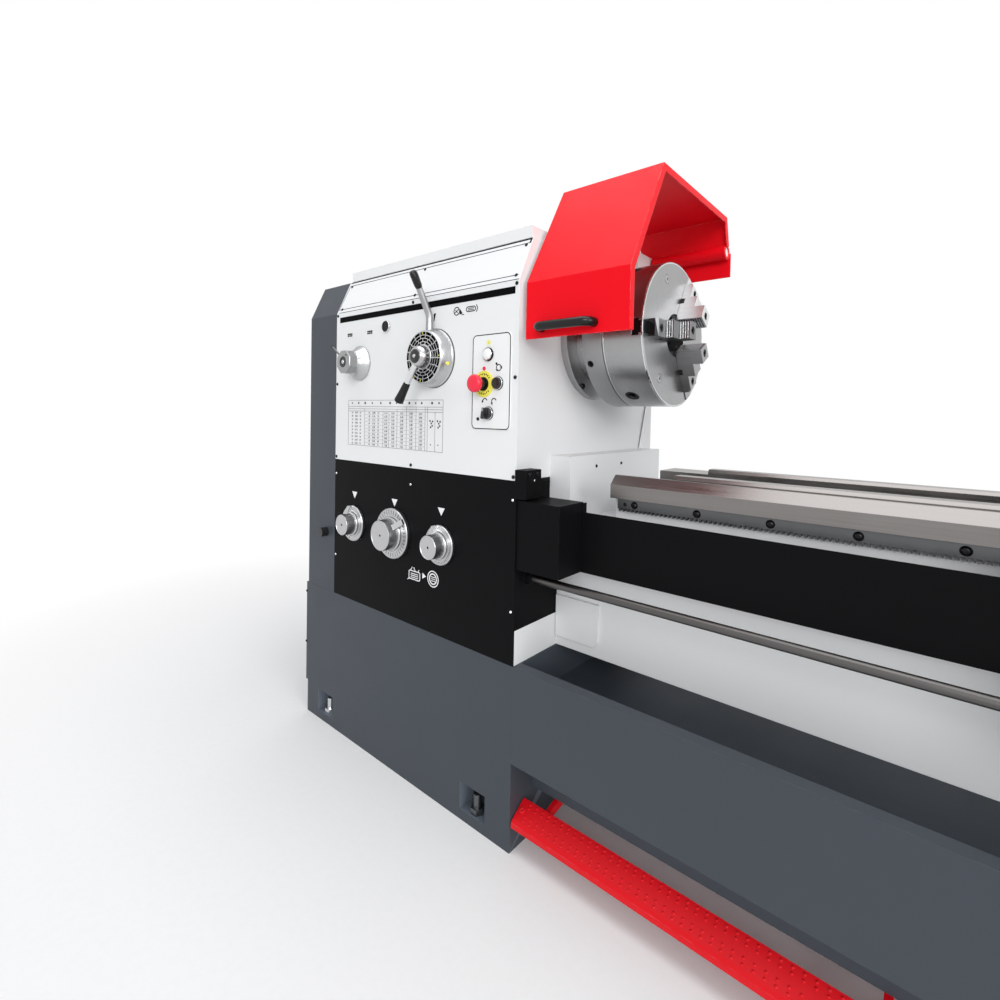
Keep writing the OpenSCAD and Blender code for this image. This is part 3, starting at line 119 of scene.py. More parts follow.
class LatheColours(bpy.types.PropertyGroup):
    """Colours of the paints and of the printed marks."""

    panel: paint(
        "Panel white", "Enamel of the covers and castings", (0.76, 0.77, 0.775))
    slate: paint(
        "Slate", "Enamel of the legs, tray and end cover", (0.051, 0.060, 0.073))
    black: paint(
        "Gearbox black", "Paint of the feed gearbox and screw guard", (0.0050, 0.0052, 0.0056))
    guard: paint(
        "Guard red", "Enamel of the chuck guard and foot brake", (0.80, 0.004, 0.012))
    print_dark: paint(
        "Dark print", "Lines and figures on the white panel", (0.0035, 0.0035, 0.004))
    label_yellow: paint(
        "Label yellow", "Ring under the stop button", (0.80, 0.74, 0.10))


class LatheSizes(bpy.types.PropertyGroup):
    """Sizes of the fine pieces, in the units shown."""

    edge: FloatProperty(
        name="Edge rounding", description="Radius at which painted edges catch light",
        unit="LENGTH", min=0.0002, max=0.004, default=0.0013)
    line: FloatProperty(
        name="Line width", description="Width of the printed lines, in mm",
        min=0.3, max=3, default=1.7)
    thread_pitch: FloatProperty(
        name="Leadscrew pitch", description="Pitch of the leadscrew thread, in mm",
        min=4, max=16, default=12)
    dial_ticks: IntProperty(
        name="Dial marks", description="Marks around the largest feed dial",
        min=12, max=72, default=36)
    stud_rows: IntProperty(
        name="Tread studs", description="Grip studs along the foot brake's tread",
        min=20, max=120, default=76)


def colours():
    return bpy.context.scene.lathe_colours


def sizes():
    return bpy.context.scene.lathe_sizes


# Node helpers --------------------------------------------------------------------------


class Wires:
    """Adds nodes to a tree from left to right and joins their sockets."""

    def __init__(self, tree):
        self.tree = tree
        self.x = -600

    def add(self, kind, ins=None, **settings):
        node = self.tree.nodes.new(kind)
        self.x += 170
        node.location = (self.x, 0)
        for key, value in settings.items():
            setattr(node, key, value)
        for key, value in (ins or {}).items():
            self.put(node.inputs[key], value)
        return node

    def put(self, socket, value):
        if isinstance(value, bpy.types.NodeSocket):
            self.tree.links.new(value, socket)
        else:
            socket.default_value = value

    def math(self, operation, a, b=0.0, clamp=False):
        node = self.add("ShaderNodeMath", {0: a, 1: b}, operation=operation, use_clamp=clamp)
        return node.outputs[0]

    def blend(self, factor, a, b, kind="MIX"):
        node = self.add("ShaderNodeMix", data_type="RGBA", blend_type=kind)
        self.put(node.inputs[0], factor)
        self.put(node.inputs[6], a)
        self.put(node.inputs[7], b)
        return node.outputs[2]

    def span(self, value, low, high, to_low, to_high):
        """Maps low..high to to_low..to_high, held at both ends."""
        node = self.add("ShaderNodeMapRange", {0: value, 1: low, 2: high, 3: to_low, 4: to_high})
        return node.outputs[0]

    def swing(self, value, middle, amount):
        """How far a value lies from its middle, times an amount."""
        return self.math("MULTIPLY", self.math("SUBTRACT", value, middle), amount)

    def seen(self):
        """1 for rays that show a surface directly or in a reflection."""
        path = self.add("ShaderNodeLightPath")
        seen = self.math("MAXIMUM", path.outputs["Is Camera Ray"], path.outputs["Is Glossy Ray"])
        return self.math("MAXIMUM", seen, path.outputs["Is Transmission Ray"])

    def noise(self, vector, scale, detail=3.0, rough=0.55):
        node = self.add("ShaderNodeTexNoise",
                        {"Vector": vector, "Scale": scale, "Detail": detail, "Roughness": rough})
        return node.outputs[0]

    def stretched(self, vector, scale):
        node = self.add("ShaderNodeVectorMath", {0: vector, 1: scale}, operation="MULTIPLY")
        return node.outputs[0]


SOCKETS = {"v": "NodeSocketVector", "c": "NodeSocketColor", "f": "NodeSocketFloat"}


def shader_group(name, inputs, outputs):
    """An empty shader group with named sockets; each is (name, kind, default)."""
    tree = bpy.data.node_groups.new(name, "ShaderNodeTree")
    for label, kind, default in inputs:
        socket = tree.interface.new_socket(name=label, in_out="INPUT", socket_type=SOCKETS[kind])
        if default is not None:
            socket.default_value = default
    for label, kind in outputs:
        tree.interface.new_socket(name=label, in_out="OUTPUT", socket_type=SOCKETS[kind])
    wires = Wires(tree)
    inside = wires.add("NodeGroupInput")
    return tree, wires, inside.outputs


def close_group(wires, **values):
    out = wires.add("NodeGroupOutput")
    for key, value in values.items():
        wires.put(out.inputs[key.replace("_", " ")], value)


def enamel_group():
    """Sprayed enamel: orange peel, a slow change of shade, and lighter edges that are partly edge wear and
    partly painted highlight.
    """
    tree, w, g = shader_group(
        "Enamel surface",
        [("Vector", "v", None), ("Colour", "c", (0.8, 0.8, 0.8, 1)), ("Worn Colour", "c", (0.9, 0.9, 0.9, 1)),
         ("Edge", "f", 0.0), ("Wear And Highlight", "f", 0.5), ("Mottle", "f", 0.05), ("Gloss", "f", 0.3),
         ("Peel Scale", "f", 420.0)],
        [("Colour", "c"), ("Roughness", "f"), ("Height", "f")])
    slow = w.noise(g["Vector"], 3.2, 4.0)
    fine = w.noise(g["Vector"], 46.0, 5.0, 0.6)
    peel = w.noise(g["Vector"], g["Peel Scale"], 2.0)
    shade = w.swing(slow, 0.5, g["Mottle"])
    shade = w.math("ADD", shade, 1.0)
    varied = w.add("ShaderNodeHueSaturation", {"Value": shade, "Color": g["Colour"]}).outputs[0]
    # Lighter edges broken into chips: partly edge wear, partly painted highlight
    chip_and_highlight_mask = w.span(fine, 0.42, 0.66, 0.0, 1.0)
    wear_and_highlight = w.math("MULTIPLY", w.math("MULTIPLY", g["Edge"], chip_and_highlight_mask), g["Wear And Highlight"], clamp=True)
    colour = w.blend(wear_and_highlight, varied, g["Worn Colour"])
    smear = w.span(w.noise(g["Vector"], 9.0, 6.0, 0.65), 0.4, 0.75, 0.0, 0.09)
    rough = w.math("ADD", g["Gloss"], smear)
    rough = w.math("ADD", rough, w.math("MULTIPLY", wear_and_highlight, 0.15), clamp=True)
    height = w.math("ADD", w.math("MULTIPLY", peel, 0.5), w.math("MULTIPLY", fine, 0.35))
    close_group(w, Colour=colour, Roughness=rough, Height=height)
    return tree


def steel_group():
    """Ground or brushed steel: streaks along one way, oil films and small scratches."""
    tree, w, g = shader_group(
        "Steel surface",
        [("Vector", "v", None), ("Grain", "v", (6, 400, 400)), ("Colour", "c", (0.6, 0.6, 0.6, 1)),
         ("Edge", "f", 0.0), ("Roughness", "f", 0.3), ("Streak", "f", 0.25)],
        [("Colour", "c"), ("Roughness", "f"), ("Height", "f")])
    run = w.stretched(g["Vector"], g["Grain"])
    streak = w.noise(run, 1.0, 4.0, 0.6)
    film = w.noise(g["Vector"], 7.0, 5.0, 0.6)
    pits = w.noise(g["Vector"], 160.0, 3.0)
    change = w.swing(streak, 0.5, g["Streak"])
    change = w.math("ADD", change, w.swing(film, 0.5, 0.22))
    # Edges are lightened by the edge mask: painted highlight
    value = w.math("ADD", w.math("ADD", change, 1.0), w.math("MULTIPLY", g["Edge"], 0.35))
    colour = w.add("ShaderNodeHueSaturation", {"Value": value, "Color": g["Colour"]}).outputs[0]
    rough = w.math("ADD", g["Roughness"], w.swing(streak, 0.5, 0.25))
    rough = w.math("ADD", rough, w.swing(film, 0.45, 0.22), clamp=True)
    height = w.math("ADD", w.math("MULTIPLY", streak, 0.8), w.math("MULTIPLY", pits, 0.25))
    close_group(w, Colour=colour, Roughness=rough, Height=height)
    return tree


def turned_group():
    """Lathe-turned metal: fine rings about an axis, through Centre along Axis."""
    tree, w, g = shader_group(
        "Turned surface",
        [("Vector", "v", None), ("Centre", "v", (0, 0, 0)), ("Across", "v", (0, 1, 1)),
         ("Along", "v", (1, 0, 0)), ("Colour", "c", (0.6, 0.6, 0.6, 1)), ("Edge", "f", 0.0),
         ("Roughness", "f", 0.3), ("Ring Scale", "f", 900.0)],
        [("Colour", "c"), ("Roughness", "f"), ("Height", "f")])
    local = w.add("ShaderNodeVectorMath", {0: g["Vector"], 1: g["Centre"]}, operation="SUBTRACT").outputs[0]
    radial = w.add("ShaderNodeVectorMath", {0: w.stretched(local, g["Across"])},
                   operation="LENGTH").outputs[1]
    along = w.add("ShaderNodeVectorMath", {0: local, 1: g["Along"]}, operation="DOT_PRODUCT").outputs[1]
    where = w.math("ADD", radial, along)
    packed = w.add("ShaderNodeCombineXYZ", {0: w.math("MULTIPLY", where, g["Ring Scale"])}).outputs[0]
    rings = w.noise(packed, 1.0, 5.0, 0.7)
    film = w.noise(g["Vector"], 11.0, 5.0, 0.6)
    change = w.swing(rings, 0.5, 0.30)
    change = w.math("ADD", change, w.swing(film, 0.5, 0.25))
    # Edges are lightened by the edge mask: painted highlight
    value = w.math("ADD", w.math("ADD", change, 1.0), w.math("MULTIPLY", g["Edge"], 0.4))
    colour = w.add("ShaderNodeHueSaturation", {"Value": value, "Color": g["Colour"]}).outputs[0]
    rough = w.math("ADD", g["Roughness"], w.swing(rings, 0.5, 0.3))
    rough = w.math("ADD", rough, w.swing(film, 0.45, 0.15), clamp=True)
    close_group(w, Colour=colour, Roughness=rough, Height=rings)
    return tree


def moulded_group():
    """Moulded plastic or rubber: fine grain and handled, shinier patches."""
    tree, w, g = shader_group(
        "Moulded surface",
        [("Vector", "v", None), ("Colour", "c", (0.05, 0.05, 0.05, 1)), ("Edge", "f", 0.0),
         ("Roughness", "f", 0.4), ("Grain Scale", "f", 900.0)],
        [("Colour", "c"), ("Roughness", "f"), ("Height", "f")])
    grain = w.noise(g["Vector"], g["Grain Scale"], 3.0)
    handled = w.noise(g["Vector"], 22.0, 4.0)
    # Edges are lightened by the edge mask: painted highlight
    value = w.math("ADD", w.math("ADD", 0.94, w.math("MULTIPLY", handled, 0.12)),
                   w.math("MULTIPLY", g["Edge"], 0.6))
    colour = w.add("ShaderNodeHueSaturation", {"Value": value, "Color": g["Colour"]}).outputs[0]
    rough = w.math("ADD", g["Roughness"], w.math("MULTIPLY", w.math("SUBTRACT", 0.5, handled), 0.22),
                   clamp=True)
    close_group(w, Colour=colour, Roughness=rough, Height=grain)
    return tree


def edge_group():
    """Mask of the edges: where the rounded normal turns away from the face's own."""
    tree, w, g = shader_group(
        "Edge mask",
        [("Rounded Normal", "v", None), ("Face Normal", "v", None), ("Strength", "f", 9.0)],
        [("Mask", "f")])
    same = w.add("ShaderNodeVectorMath", {0: g["Rounded Normal"], 1: g["Face Normal"]},
                 operation="DOT_PRODUCT").outputs[1]
    mask = w.math("MULTIPLY", w.math("SUBTRACT", 1.0, same), g["Strength"], clamp=True)
    close_group(w, Mask=mask)
    return tree


GROUPS = {}
FINISH = {}


def rgba(colour):
    return (*colour[:3], 1.0)


def finish(name, group, values, metallic=0.0, bump=0.1, reach=0.001, edge=None, rounded=True, **shader):
    """A material: one surface group, its edge mask, and a Principled shader."""
    material = bpy.data.materials.new(name)
    material.use_nodes = True
    tree = material.node_tree
    tree.nodes.clear()
    w = Wires(tree)
    where = w.add("ShaderNodeTexCoord").outputs["Object"]
    flat = w.add("ShaderNodeNewGeometry").outputs["Normal"]
    normal = flat
    if rounded:
        normal = w.add("ShaderNodeBevel", {"Radius": edge or sizes().edge}, samples=4).outputs[0]
    mask = w.add("ShaderNodeGroup", node_tree=GROUPS["edge"])
    w.put(mask.inputs["Rounded Normal"], normal)
    w.put(mask.inputs["Face Normal"], flat)
    surface = w.add("ShaderNodeGroup", node_tree=GROUPS[group])
    w.put(surface.inputs["Vector"], where)
    if rounded:
        w.put(surface.inputs["Edge"], mask.outputs[0])
    for key, value in values.items():
        w.put(surface.inputs[key], value)
    relief = w.add("ShaderNodeBump", {"Strength": bump, "Distance": reach,
                                      "Height": surface.outputs["Height"], "Normal": normal})
    lit = w.add("ShaderNodeBsdfPrincipled", {
        "Base Color": surface.outputs["Colour"], "Roughness": surface.outputs["Roughness"],
        "Metallic": metallic, "Normal": relief.outputs[0]})
    for key, value in shader.items():
        lit.inputs[key.replace("_", " ")].default_value = value
    out = w.add("ShaderNodeOutputMaterial")
    w.put(out.inputs[0], lit.outputs[0])
    material.diffuse_color = lit.inputs["Base Color"].default_value
    FINISH[name] = material
    return material


# The edge colour and its amount give lighter edges: partly edge wear, partly painted highlight
def enamel(name, colour, wear_and_highlight, gloss=0.3, mottle=0.05, wear_and_highlight_amount=0.4, peel=420.0, bump=0.05, shine=0.22, **more):
    more["Specular_IOR_Level"] = shine
    return finish(name, "enamel", {"Colour": rgba(colour), "Worn Colour": rgba(wear_and_highlight), "Gloss": gloss,
                                   "Mottle": mottle, "Wear And Highlight": wear_and_highlight_amount, "Peel Scale": peel}, bump=bump, **more)


def steel(name, colour, rough=0.3, grain=(6, 400, 400), streak=0.25, bump=0.06, **more):
    return finish(name, "steel", {"Colour": rgba(colour), "Roughness": rough, "Grain": grain,
                                  "Streak": streak}, metallic=1.0, bump=bump, **more)


def turned(name, colour, place, axis, rough=0.3, rings=900.0, bump=0.05, **more):
    across = tuple(0.0 if c else 1.0 for c in axis)
    return finish(name, "turned", {"Colour": rgba(colour), "Centre": tuple(place), "Across": across,
                                   "Along": tuple(float(c) for c in axis), "Roughness": rough,
                                   "Ring Scale": rings}, metallic=1.0, bump=bump, **more)


def moulded(name, colour, rough=0.4, grain=900.0, bump=0.08, **more):
    return finish(name, "moulded", {"Colour": rgba(colour), "Roughness": rough, "Grain Scale": grain},
                  bump=bump, **more)


# Shape helpers -------------------------------------------------------------------------


class Shape:
    """Builds one piece in mm about a place, then turns it into a mesh that rides a body."""

    def __init__(self, place=(0, 0, 0), facing=TO_TOP):
        self.bm = bmesh.new()
        self.move = Matrix.Translation(place) @ facing.to_4x4() @ Matrix.Scale(0.001, 4)
        self.finishes = []

    def slot_of(self, name):
        if name not in self.finishes:
            self.finishes.append(name)
        return self.finishes.index(name)

    def add_faces(self, rings, name, closed=True, caps=True):
        """Joins rings of points with faces, each ring to the next."""
        index = self.slot_of(name)
        rows = [[self.bm.verts.new(self.move @ Vector(p)) for p in ring] for ring in rings]
        count = len(rows[0])
        for a, b in zip(rows, rows[1:]):
            for i in range(count if closed else count - 1):
                j = (i + 1) % count
                self.bm.faces.new((a[i], a[j], b[j], b[i])).material_index = index
        if caps:
            self.bm.faces.new(list(reversed(rows[0]))).material_index = index
            self.bm.faces.new(rows[-1]).material_index = index

    def turned(self, profile, name, at=(0, 0), steps=48):
        """A solid turned about local Z: the profile is pairs of height and radius."""
        self.add_faces([level(disc(*at, max(radius, TIP), steps), height) for height, radius in profile],
                       name)

    def hoop(self, profile, name, steps=144):
        """A ring turned about local Z from a closed profile of height and radius."""
        self.add_faces([level(disc(*ORIGIN, r, steps), height) for height, r in profile + profile[:1]],
                       name, caps=False)

    def slab(self, outline, low, high, name, chamfer=0.0):
        """A flat plate with this outline between two heights, its upper edge chamfered."""
        rings = [level(outline, low)]
        if chamfer:
            rings += [level(outline, high - chamfer), level(inset(outline, chamfer), high)]
        else:
            rings.append(level(outline, high))
        self.add_faces(rings, name)

    def bar(self, points, radii, name, steps=20, squash=1.0):
        """A rounded bar through points, with a radius at each."""
        points = [Vector(p) for p in points]
        side = None
        rings = []
        for i, p in enumerate(points):
            before = points[max(i - 1, 0)]
            after = points[min(i + 1, len(points) - 1)]
            along = (after - before).normalized()
            if side is None:
                side = along.orthogonal().normalized()
            side = (side - along * side.dot(along)).normalized()
            up = along.cross(side)
            rings.append([p + (side * math.cos(math.tau * k / steps)
                               + up * (squash * math.sin(math.tau * k / steps))) * radii[i]
                          for k in range(steps)])
        self.add_faces(rings, name)

    def words(self, text, size, at, name, height=0.3, turn=0.0, align="CENTER", base=0.0, line=1.0):
        """Printed figures, lying flat and slightly raised."""
        curve = bpy.data.curves.new("figures", "FONT")
        curve.body = text
        curve.size = size
        curve.align_x = align
        curve.align_y = "CENTER"
        curve.resolution_u = 2
        curve.space_line = line
        curve.extrude = height / 2
        holder = bpy.data.objects.new("figures", curve)
        bpy.context.scene.collection.objects.link(holder)
        bpy.context.view_layer.update()
        mesh = bpy.data.meshes.new_from_object(holder)
        spin = Matrix.Translation((at[0], at[1], base + height / 2)) @ Matrix.Rotation(turn, 4, "Z")
        mesh.transform(self.move @ spin)
        index = self.slot_of(name)
        for polygon in mesh.polygons:
            polygon.material_index = index
        self.bm.from_mesh(mesh)
        bpy.data.objects.remove(holder)
        bpy.data.curves.remove(curve)
        bpy.data.meshes.remove(mesh)

    def join(self, mesh, name):
        """Takes in a mesh that already lies in the machine's frame."""
        index = self.slot_of(name)
        for polygon in mesh.polygons:
            polygon.material_index = index
        self.bm.from_mesh(mesh)
        bpy.data.meshes.remove(mesh)

    def done(self, name, body, smooth=32.0, doubles=1e-6):
        bmesh.ops.remove_doubles(self.bm, verts=self.bm.verts, dist=doubles)
        bmesh.ops.dissolve_degenerate(self.bm, edges=self.bm.edges, dist=1e-7)
        bmesh.ops.recalc_face_normals(self.bm, faces=self.bm.faces)
        mesh = bpy.data.meshes.new(name)
        self.bm.to_mesh(mesh)
        self.bm.free()
        for label in self.finishes:
            mesh.materials.append(FINISH[label])
        mesh.polygons.foreach_set("use_smooth", [True] * len(mesh.polygons))
        mesh.set_sharp_from_angle(angle=math.radians(smooth))
        piece = bpy.data.objects.new(name, mesh)
        bpy.context.scene.collection.objects.link(piece)
        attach(piece, body)
        return piece


def inset(outline, depth):
    """A convex outline, drawn in by a depth."""
    result = []
    count = len(outline)
    middle = Vector((sum(x for x, _ in outline) / count, sum(y for _, y in outline) / count))
    for i, (x, y) in enumerate(outline):
        a = Vector(outline[i - 1])
        b = Vector((x, y))
        c = Vector(outline[(i + 1) % count])
        one = (b - a).normalized()
        two = (c - b).normalized()
        n = Vector((-one.y - two.y, one.x + two.x))
        if n.length < 1e-9:
            n = Vector((-one.y, one.x))
        n.normalize()
        if n.dot(middle - b) < 0:
            n = -n
        lean = max(0.35, abs(n.dot(Vector((-one.y, one.x)))))
        result.append(tuple(b + n * depth / lean))
    return result


def around(middle, r, degrees):
    """The point at a distance from a middle, in the direction of an angle."""
    a = math.radians(degrees)
    return middle[0] + r * math.cos(a), middle[1] + r * math.sin(a)


def disc(x, y, r, steps=32):
    return [(x + r * math.cos(math.tau * i / steps), y + r * math.sin(math.tau * i / steps))
            for i in range(steps)]


def flat_sided(x, y, reach, sides, steps):
    """A polygon in even steps of angle, so that it joins a disc point by point."""
    half = math.pi / sides
    result = []
    for i in range(steps):
        a = math.tau * i / steps
        r = reach * math.cos(half) / math.cos(a % (2 * half) - half)
        result.append((x + r * math.cos(a), y + r * math.sin(a)))
    return result


def spun(outline, degrees):
    """An outline turned about its origin."""
    c, s = around(ORIGIN, 1, degrees)
    return [(x * c - y * s, x * s + y * c) for x, y in outline]


def level(outline, height):
    """An outline's points at one height."""
    return [(x, y, height) for x, y in outline]


def box_outline(x0, y0, x1, y1, r=0.0, steps=5):
    """A rectangle whose corners are rounded by r."""
    if r <= 0:
        return [(x0, y0), (x1, y0), (x1, y1), (x0, y1)]
    result = []
    for cx, cy, start in ((x1 - r, y0 + r, -90), (x1 - r, y1 - r, 0), (x0 + r, y1 - r, 90),
                          (x0 + r, y0 + r, 180)):
        for k in range(steps + 1):
            a = math.radians(start + 90 * k / steps)
            result.append((cx + r * math.cos(a), cy + r * math.sin(a)))
    return result


def arc_tile(r0, r1, start, end, steps=4):
    """Outline of a piece of a ring, angles in degrees."""
    outer = [around(ORIGIN, r1, start + (end - start) * k / steps) for k in range(steps + 1)]
    inner = [around(ORIGIN, r0, end + (start - end) * k / steps) for k in range(steps + 1)]
    return outer + inner


def thick_line(a, b, width):
    """Outline of a straight line between two points."""
    a, b = Vector(a), Vector(b)
    n = (b - a).normalized()
    n = Vector((-n.y, n.x)) * width / 2
    return [tuple(a + n), tuple(a - n), tuple(b - n), tuple(b + n)]


# Geometry Nodes ------------------------------------------------------------------------

TREES = {}
GEOMETRY_SOCKETS = {
    "i": "NodeSocketInt", "f": "NodeSocketFloat", "v": "NodeSocketVector",
    "m": "NodeSocketMaterial", "o": "NodeSocketObject",
}


def geometry_tree(name, inputs):
    """An empty Geometry Nodes tree with named inputs; each is (name, kind, default)."""
    tree = bpy.data.node_groups.new(name, "GeometryNodeTree")
    tree.interface.new_socket(name="Geometry", in_out="INPUT", socket_type="NodeSocketGeometry")
    for label, kind, default in inputs:
        socket = tree.interface.new_socket(name=label, in_out="INPUT", socket_type=GEOMETRY_SOCKETS[kind])
        if default is not None:
            socket.default_value = default
    tree.interface.new_socket(name="Geometry", in_out="OUTPUT", socket_type="NodeSocketGeometry")
    wires = Wires(tree)
    inside = wires.add("NodeGroupInput")
    return tree, wires, inside.outputs


def close_tree(wires, geometry, material):
    """Ends a tree in Realize Instances and Set Material."""
    real = wires.add("GeometryNodeRealizeInstances", {0: geometry}).outputs[0]
    painted = wires.add("GeometryNodeSetMaterial", {"Geometry": real, "Material": material}).outputs[0]
    wires.put(wires.add("NodeGroupOutput").inputs[0], painted)


def heads_tree():
    """Screw heads on points: each point has an aim and a size."""
    tree, w, g = geometry_tree("Screw heads", [
        ("Head", "o", None), ("Material", "m", None)])
    aim = w.add("GeometryNodeInputNamedAttribute", {"Name": "aim"}, data_type="FLOAT_VECTOR").outputs[0]
    size = w.add("GeometryNodeInputNamedAttribute", {"Name": "size"}, data_type="FLOAT").outputs[0]
    turn = w.add("FunctionNodeAlignRotationToVector", {"Vector": aim}, axis="Z").outputs[0]
    head = w.add("GeometryNodeObjectInfo", {"Object": g["Head"]}, transform_space="ORIGINAL")
    heads = w.add("GeometryNodeInstanceOnPoints", {
        "Points": g["Geometry"], "Instance": head.outputs["Geometry"], "Rotation": turn, "Scale": size})
    close_tree(w, heads.outputs[0], g["Material"])
    return tree


def repeat_tree():
    """A piece repeated round a circle, along a line, or both at once."""
    tree, w, g = geometry_tree("Repeated piece", [
        ("Piece", "o", None), ("Count", "i", 12), ("Radius", "f", 0.0), ("Start Angle", "f", 0.0),
        ("Step Angle", "f", 0.1), ("Step", "v", (0, 0, 0)), ("Material", "m", None)])
    points = w.add("GeometryNodePoints", {"Count": g["Count"]}).outputs[0]
    index = w.add("GeometryNodeInputIndex").outputs[0]
    angle = w.math("ADD", w.math("MULTIPLY", index, g["Step Angle"]), g["Start Angle"])
    ring = w.add("ShaderNodeCombineXYZ", {0: w.math("MULTIPLY", w.math("COSINE", angle), g["Radius"]),
                                          1: w.math("MULTIPLY", w.math("SINE", angle),
                                                    g["Radius"])}).outputs[0]
    line = w.add("ShaderNodeVectorMath", {0: g["Step"], "Scale": index}, operation="SCALE").outputs[0]
    place = w.add("ShaderNodeVectorMath", {0: ring, 1: line}, operation="ADD").outputs[0]
    placed = w.add("GeometryNodeSetPosition", {"Geometry": points, "Position": place}).outputs[0]
    spin = w.add("ShaderNodeCombineXYZ", {2: angle}).outputs[0]
    piece = w.add("GeometryNodeObjectInfo", {"Object": g["Piece"]}, transform_space="ORIGINAL")
    copies = w.add("GeometryNodeInstanceOnPoints", {
        "Points": placed, "Instance": piece.outputs["Geometry"], "Rotation": spin})
    close_tree(w, copies.outputs[0], g["Material"])
    return tree


def thread_tree():
    """A screw thread about local Z: a ridge that climbs a core."""
    tree, w, g = geometry_tree("Screw thread", [
        ("Core Radius", "f", 15.0), ("Crest Radius", "f", 17.5), ("Pitch", "f", 12.0), ("Turns", "i", 100),
        ("Material", "m", None)])
    height = w.math("MULTIPLY", g["Pitch"], g["Turns"])
    spiral = w.add("GeometryNodeCurveSpiral", {
        "Resolution": 20, "Rotations": g["Turns"], "Start Radius": g["Core Radius"],
        "End Radius": g["Core Radius"], "Height": height})
    depth = w.math("SUBTRACT", g["Crest Radius"], g["Core Radius"])
    ridge = w.add("GeometryNodeCurvePrimitiveQuadrilateral", {
        "Width": w.math("MULTIPLY", depth, 2.0), "Height": w.math("MULTIPLY", g["Pitch"], 0.45)}).outputs[0]
    swept = w.add("GeometryNodeCurveToMesh", {
        "Curve": spiral.outputs[0], "Profile Curve": ridge, "Fill Caps": True}).outputs[0]
    core = w.add("GeometryNodeMeshCylinder", {
        "Vertices": 40, "Radius": g["Core Radius"], "Depth": height}).outputs[0]
    middle = w.add("ShaderNodeCombineXYZ", {2: w.math("MULTIPLY", height, 0.5)}).outputs[0]
    core = w.add("GeometryNodeTransform", {"Geometry": core, "Translation": middle}).outputs[0]
    both = w.add("GeometryNodeJoinGeometry")
    w.tree.links.new(swept, both.inputs[0])
    w.tree.links.new(core, both.inputs[0])
    close_tree(w, both.outputs[0], g["Material"])
    return tree


def grown(tree_name, base, **inputs):
    """Runs a tree on a base mesh and returns the result as a plain mesh."""
    tree = TREES[tree_name]
    holder = bpy.data.objects.new("grown", base or bpy.data.meshes.new("empty"))
    bpy.context.scene.collection.objects.link(holder)
    modifier = holder.modifiers.new("grow", "NODES")
    modifier.node_group = tree
    names = {item.name: item.identifier for item in tree.interface.items_tree if item.in_out == "INPUT"}
    for key, value in inputs.items():
        modifier[names[key.replace("_", " ")]] = value
    bpy.context.view_layer.update()
    graph = bpy.context.evaluated_depsgraph_get()
    mesh = bpy.data.meshes.new_from_object(holder.evaluated_get(graph))
    bpy.data.objects.remove(holder)
    if not mesh.polygons:
        raise RuntimeError(f"the tree {tree_name} made nothing")
    return mesh


def template(shape, name):
    """A Shape as an unlinked object that a tree can repeat, in mm."""
    mesh = bpy.data.meshes.new(name)
    bmesh.ops.recalc_face_normals(shape.bm, faces=shape.bm.faces)
    shape.bm.to_mesh(mesh)
    shape.bm.free()
    piece = bpy.data.objects.new(name, mesh)
    bpy.context.scene.collection.objects.link(piece)
    return piece


def template_shape():
    shape = Shape()
    shape.move = Matrix.Identity(4)
    return shape


def repeated(shape, piece, name, **inputs):
    """Adds copies of a template to a shape, through the tree for repeated pieces."""
    mesh = grown("repeat", None, Piece=piece, Material=FINISH[name], **inputs)
    mesh.transform(shape.move)
    shape.join(mesh, name)
    used = piece.data
    bpy.data.objects.remove(piece)
    bpy.data.meshes.remove(used)


# Finishes ------------------------------------------------------------------------------


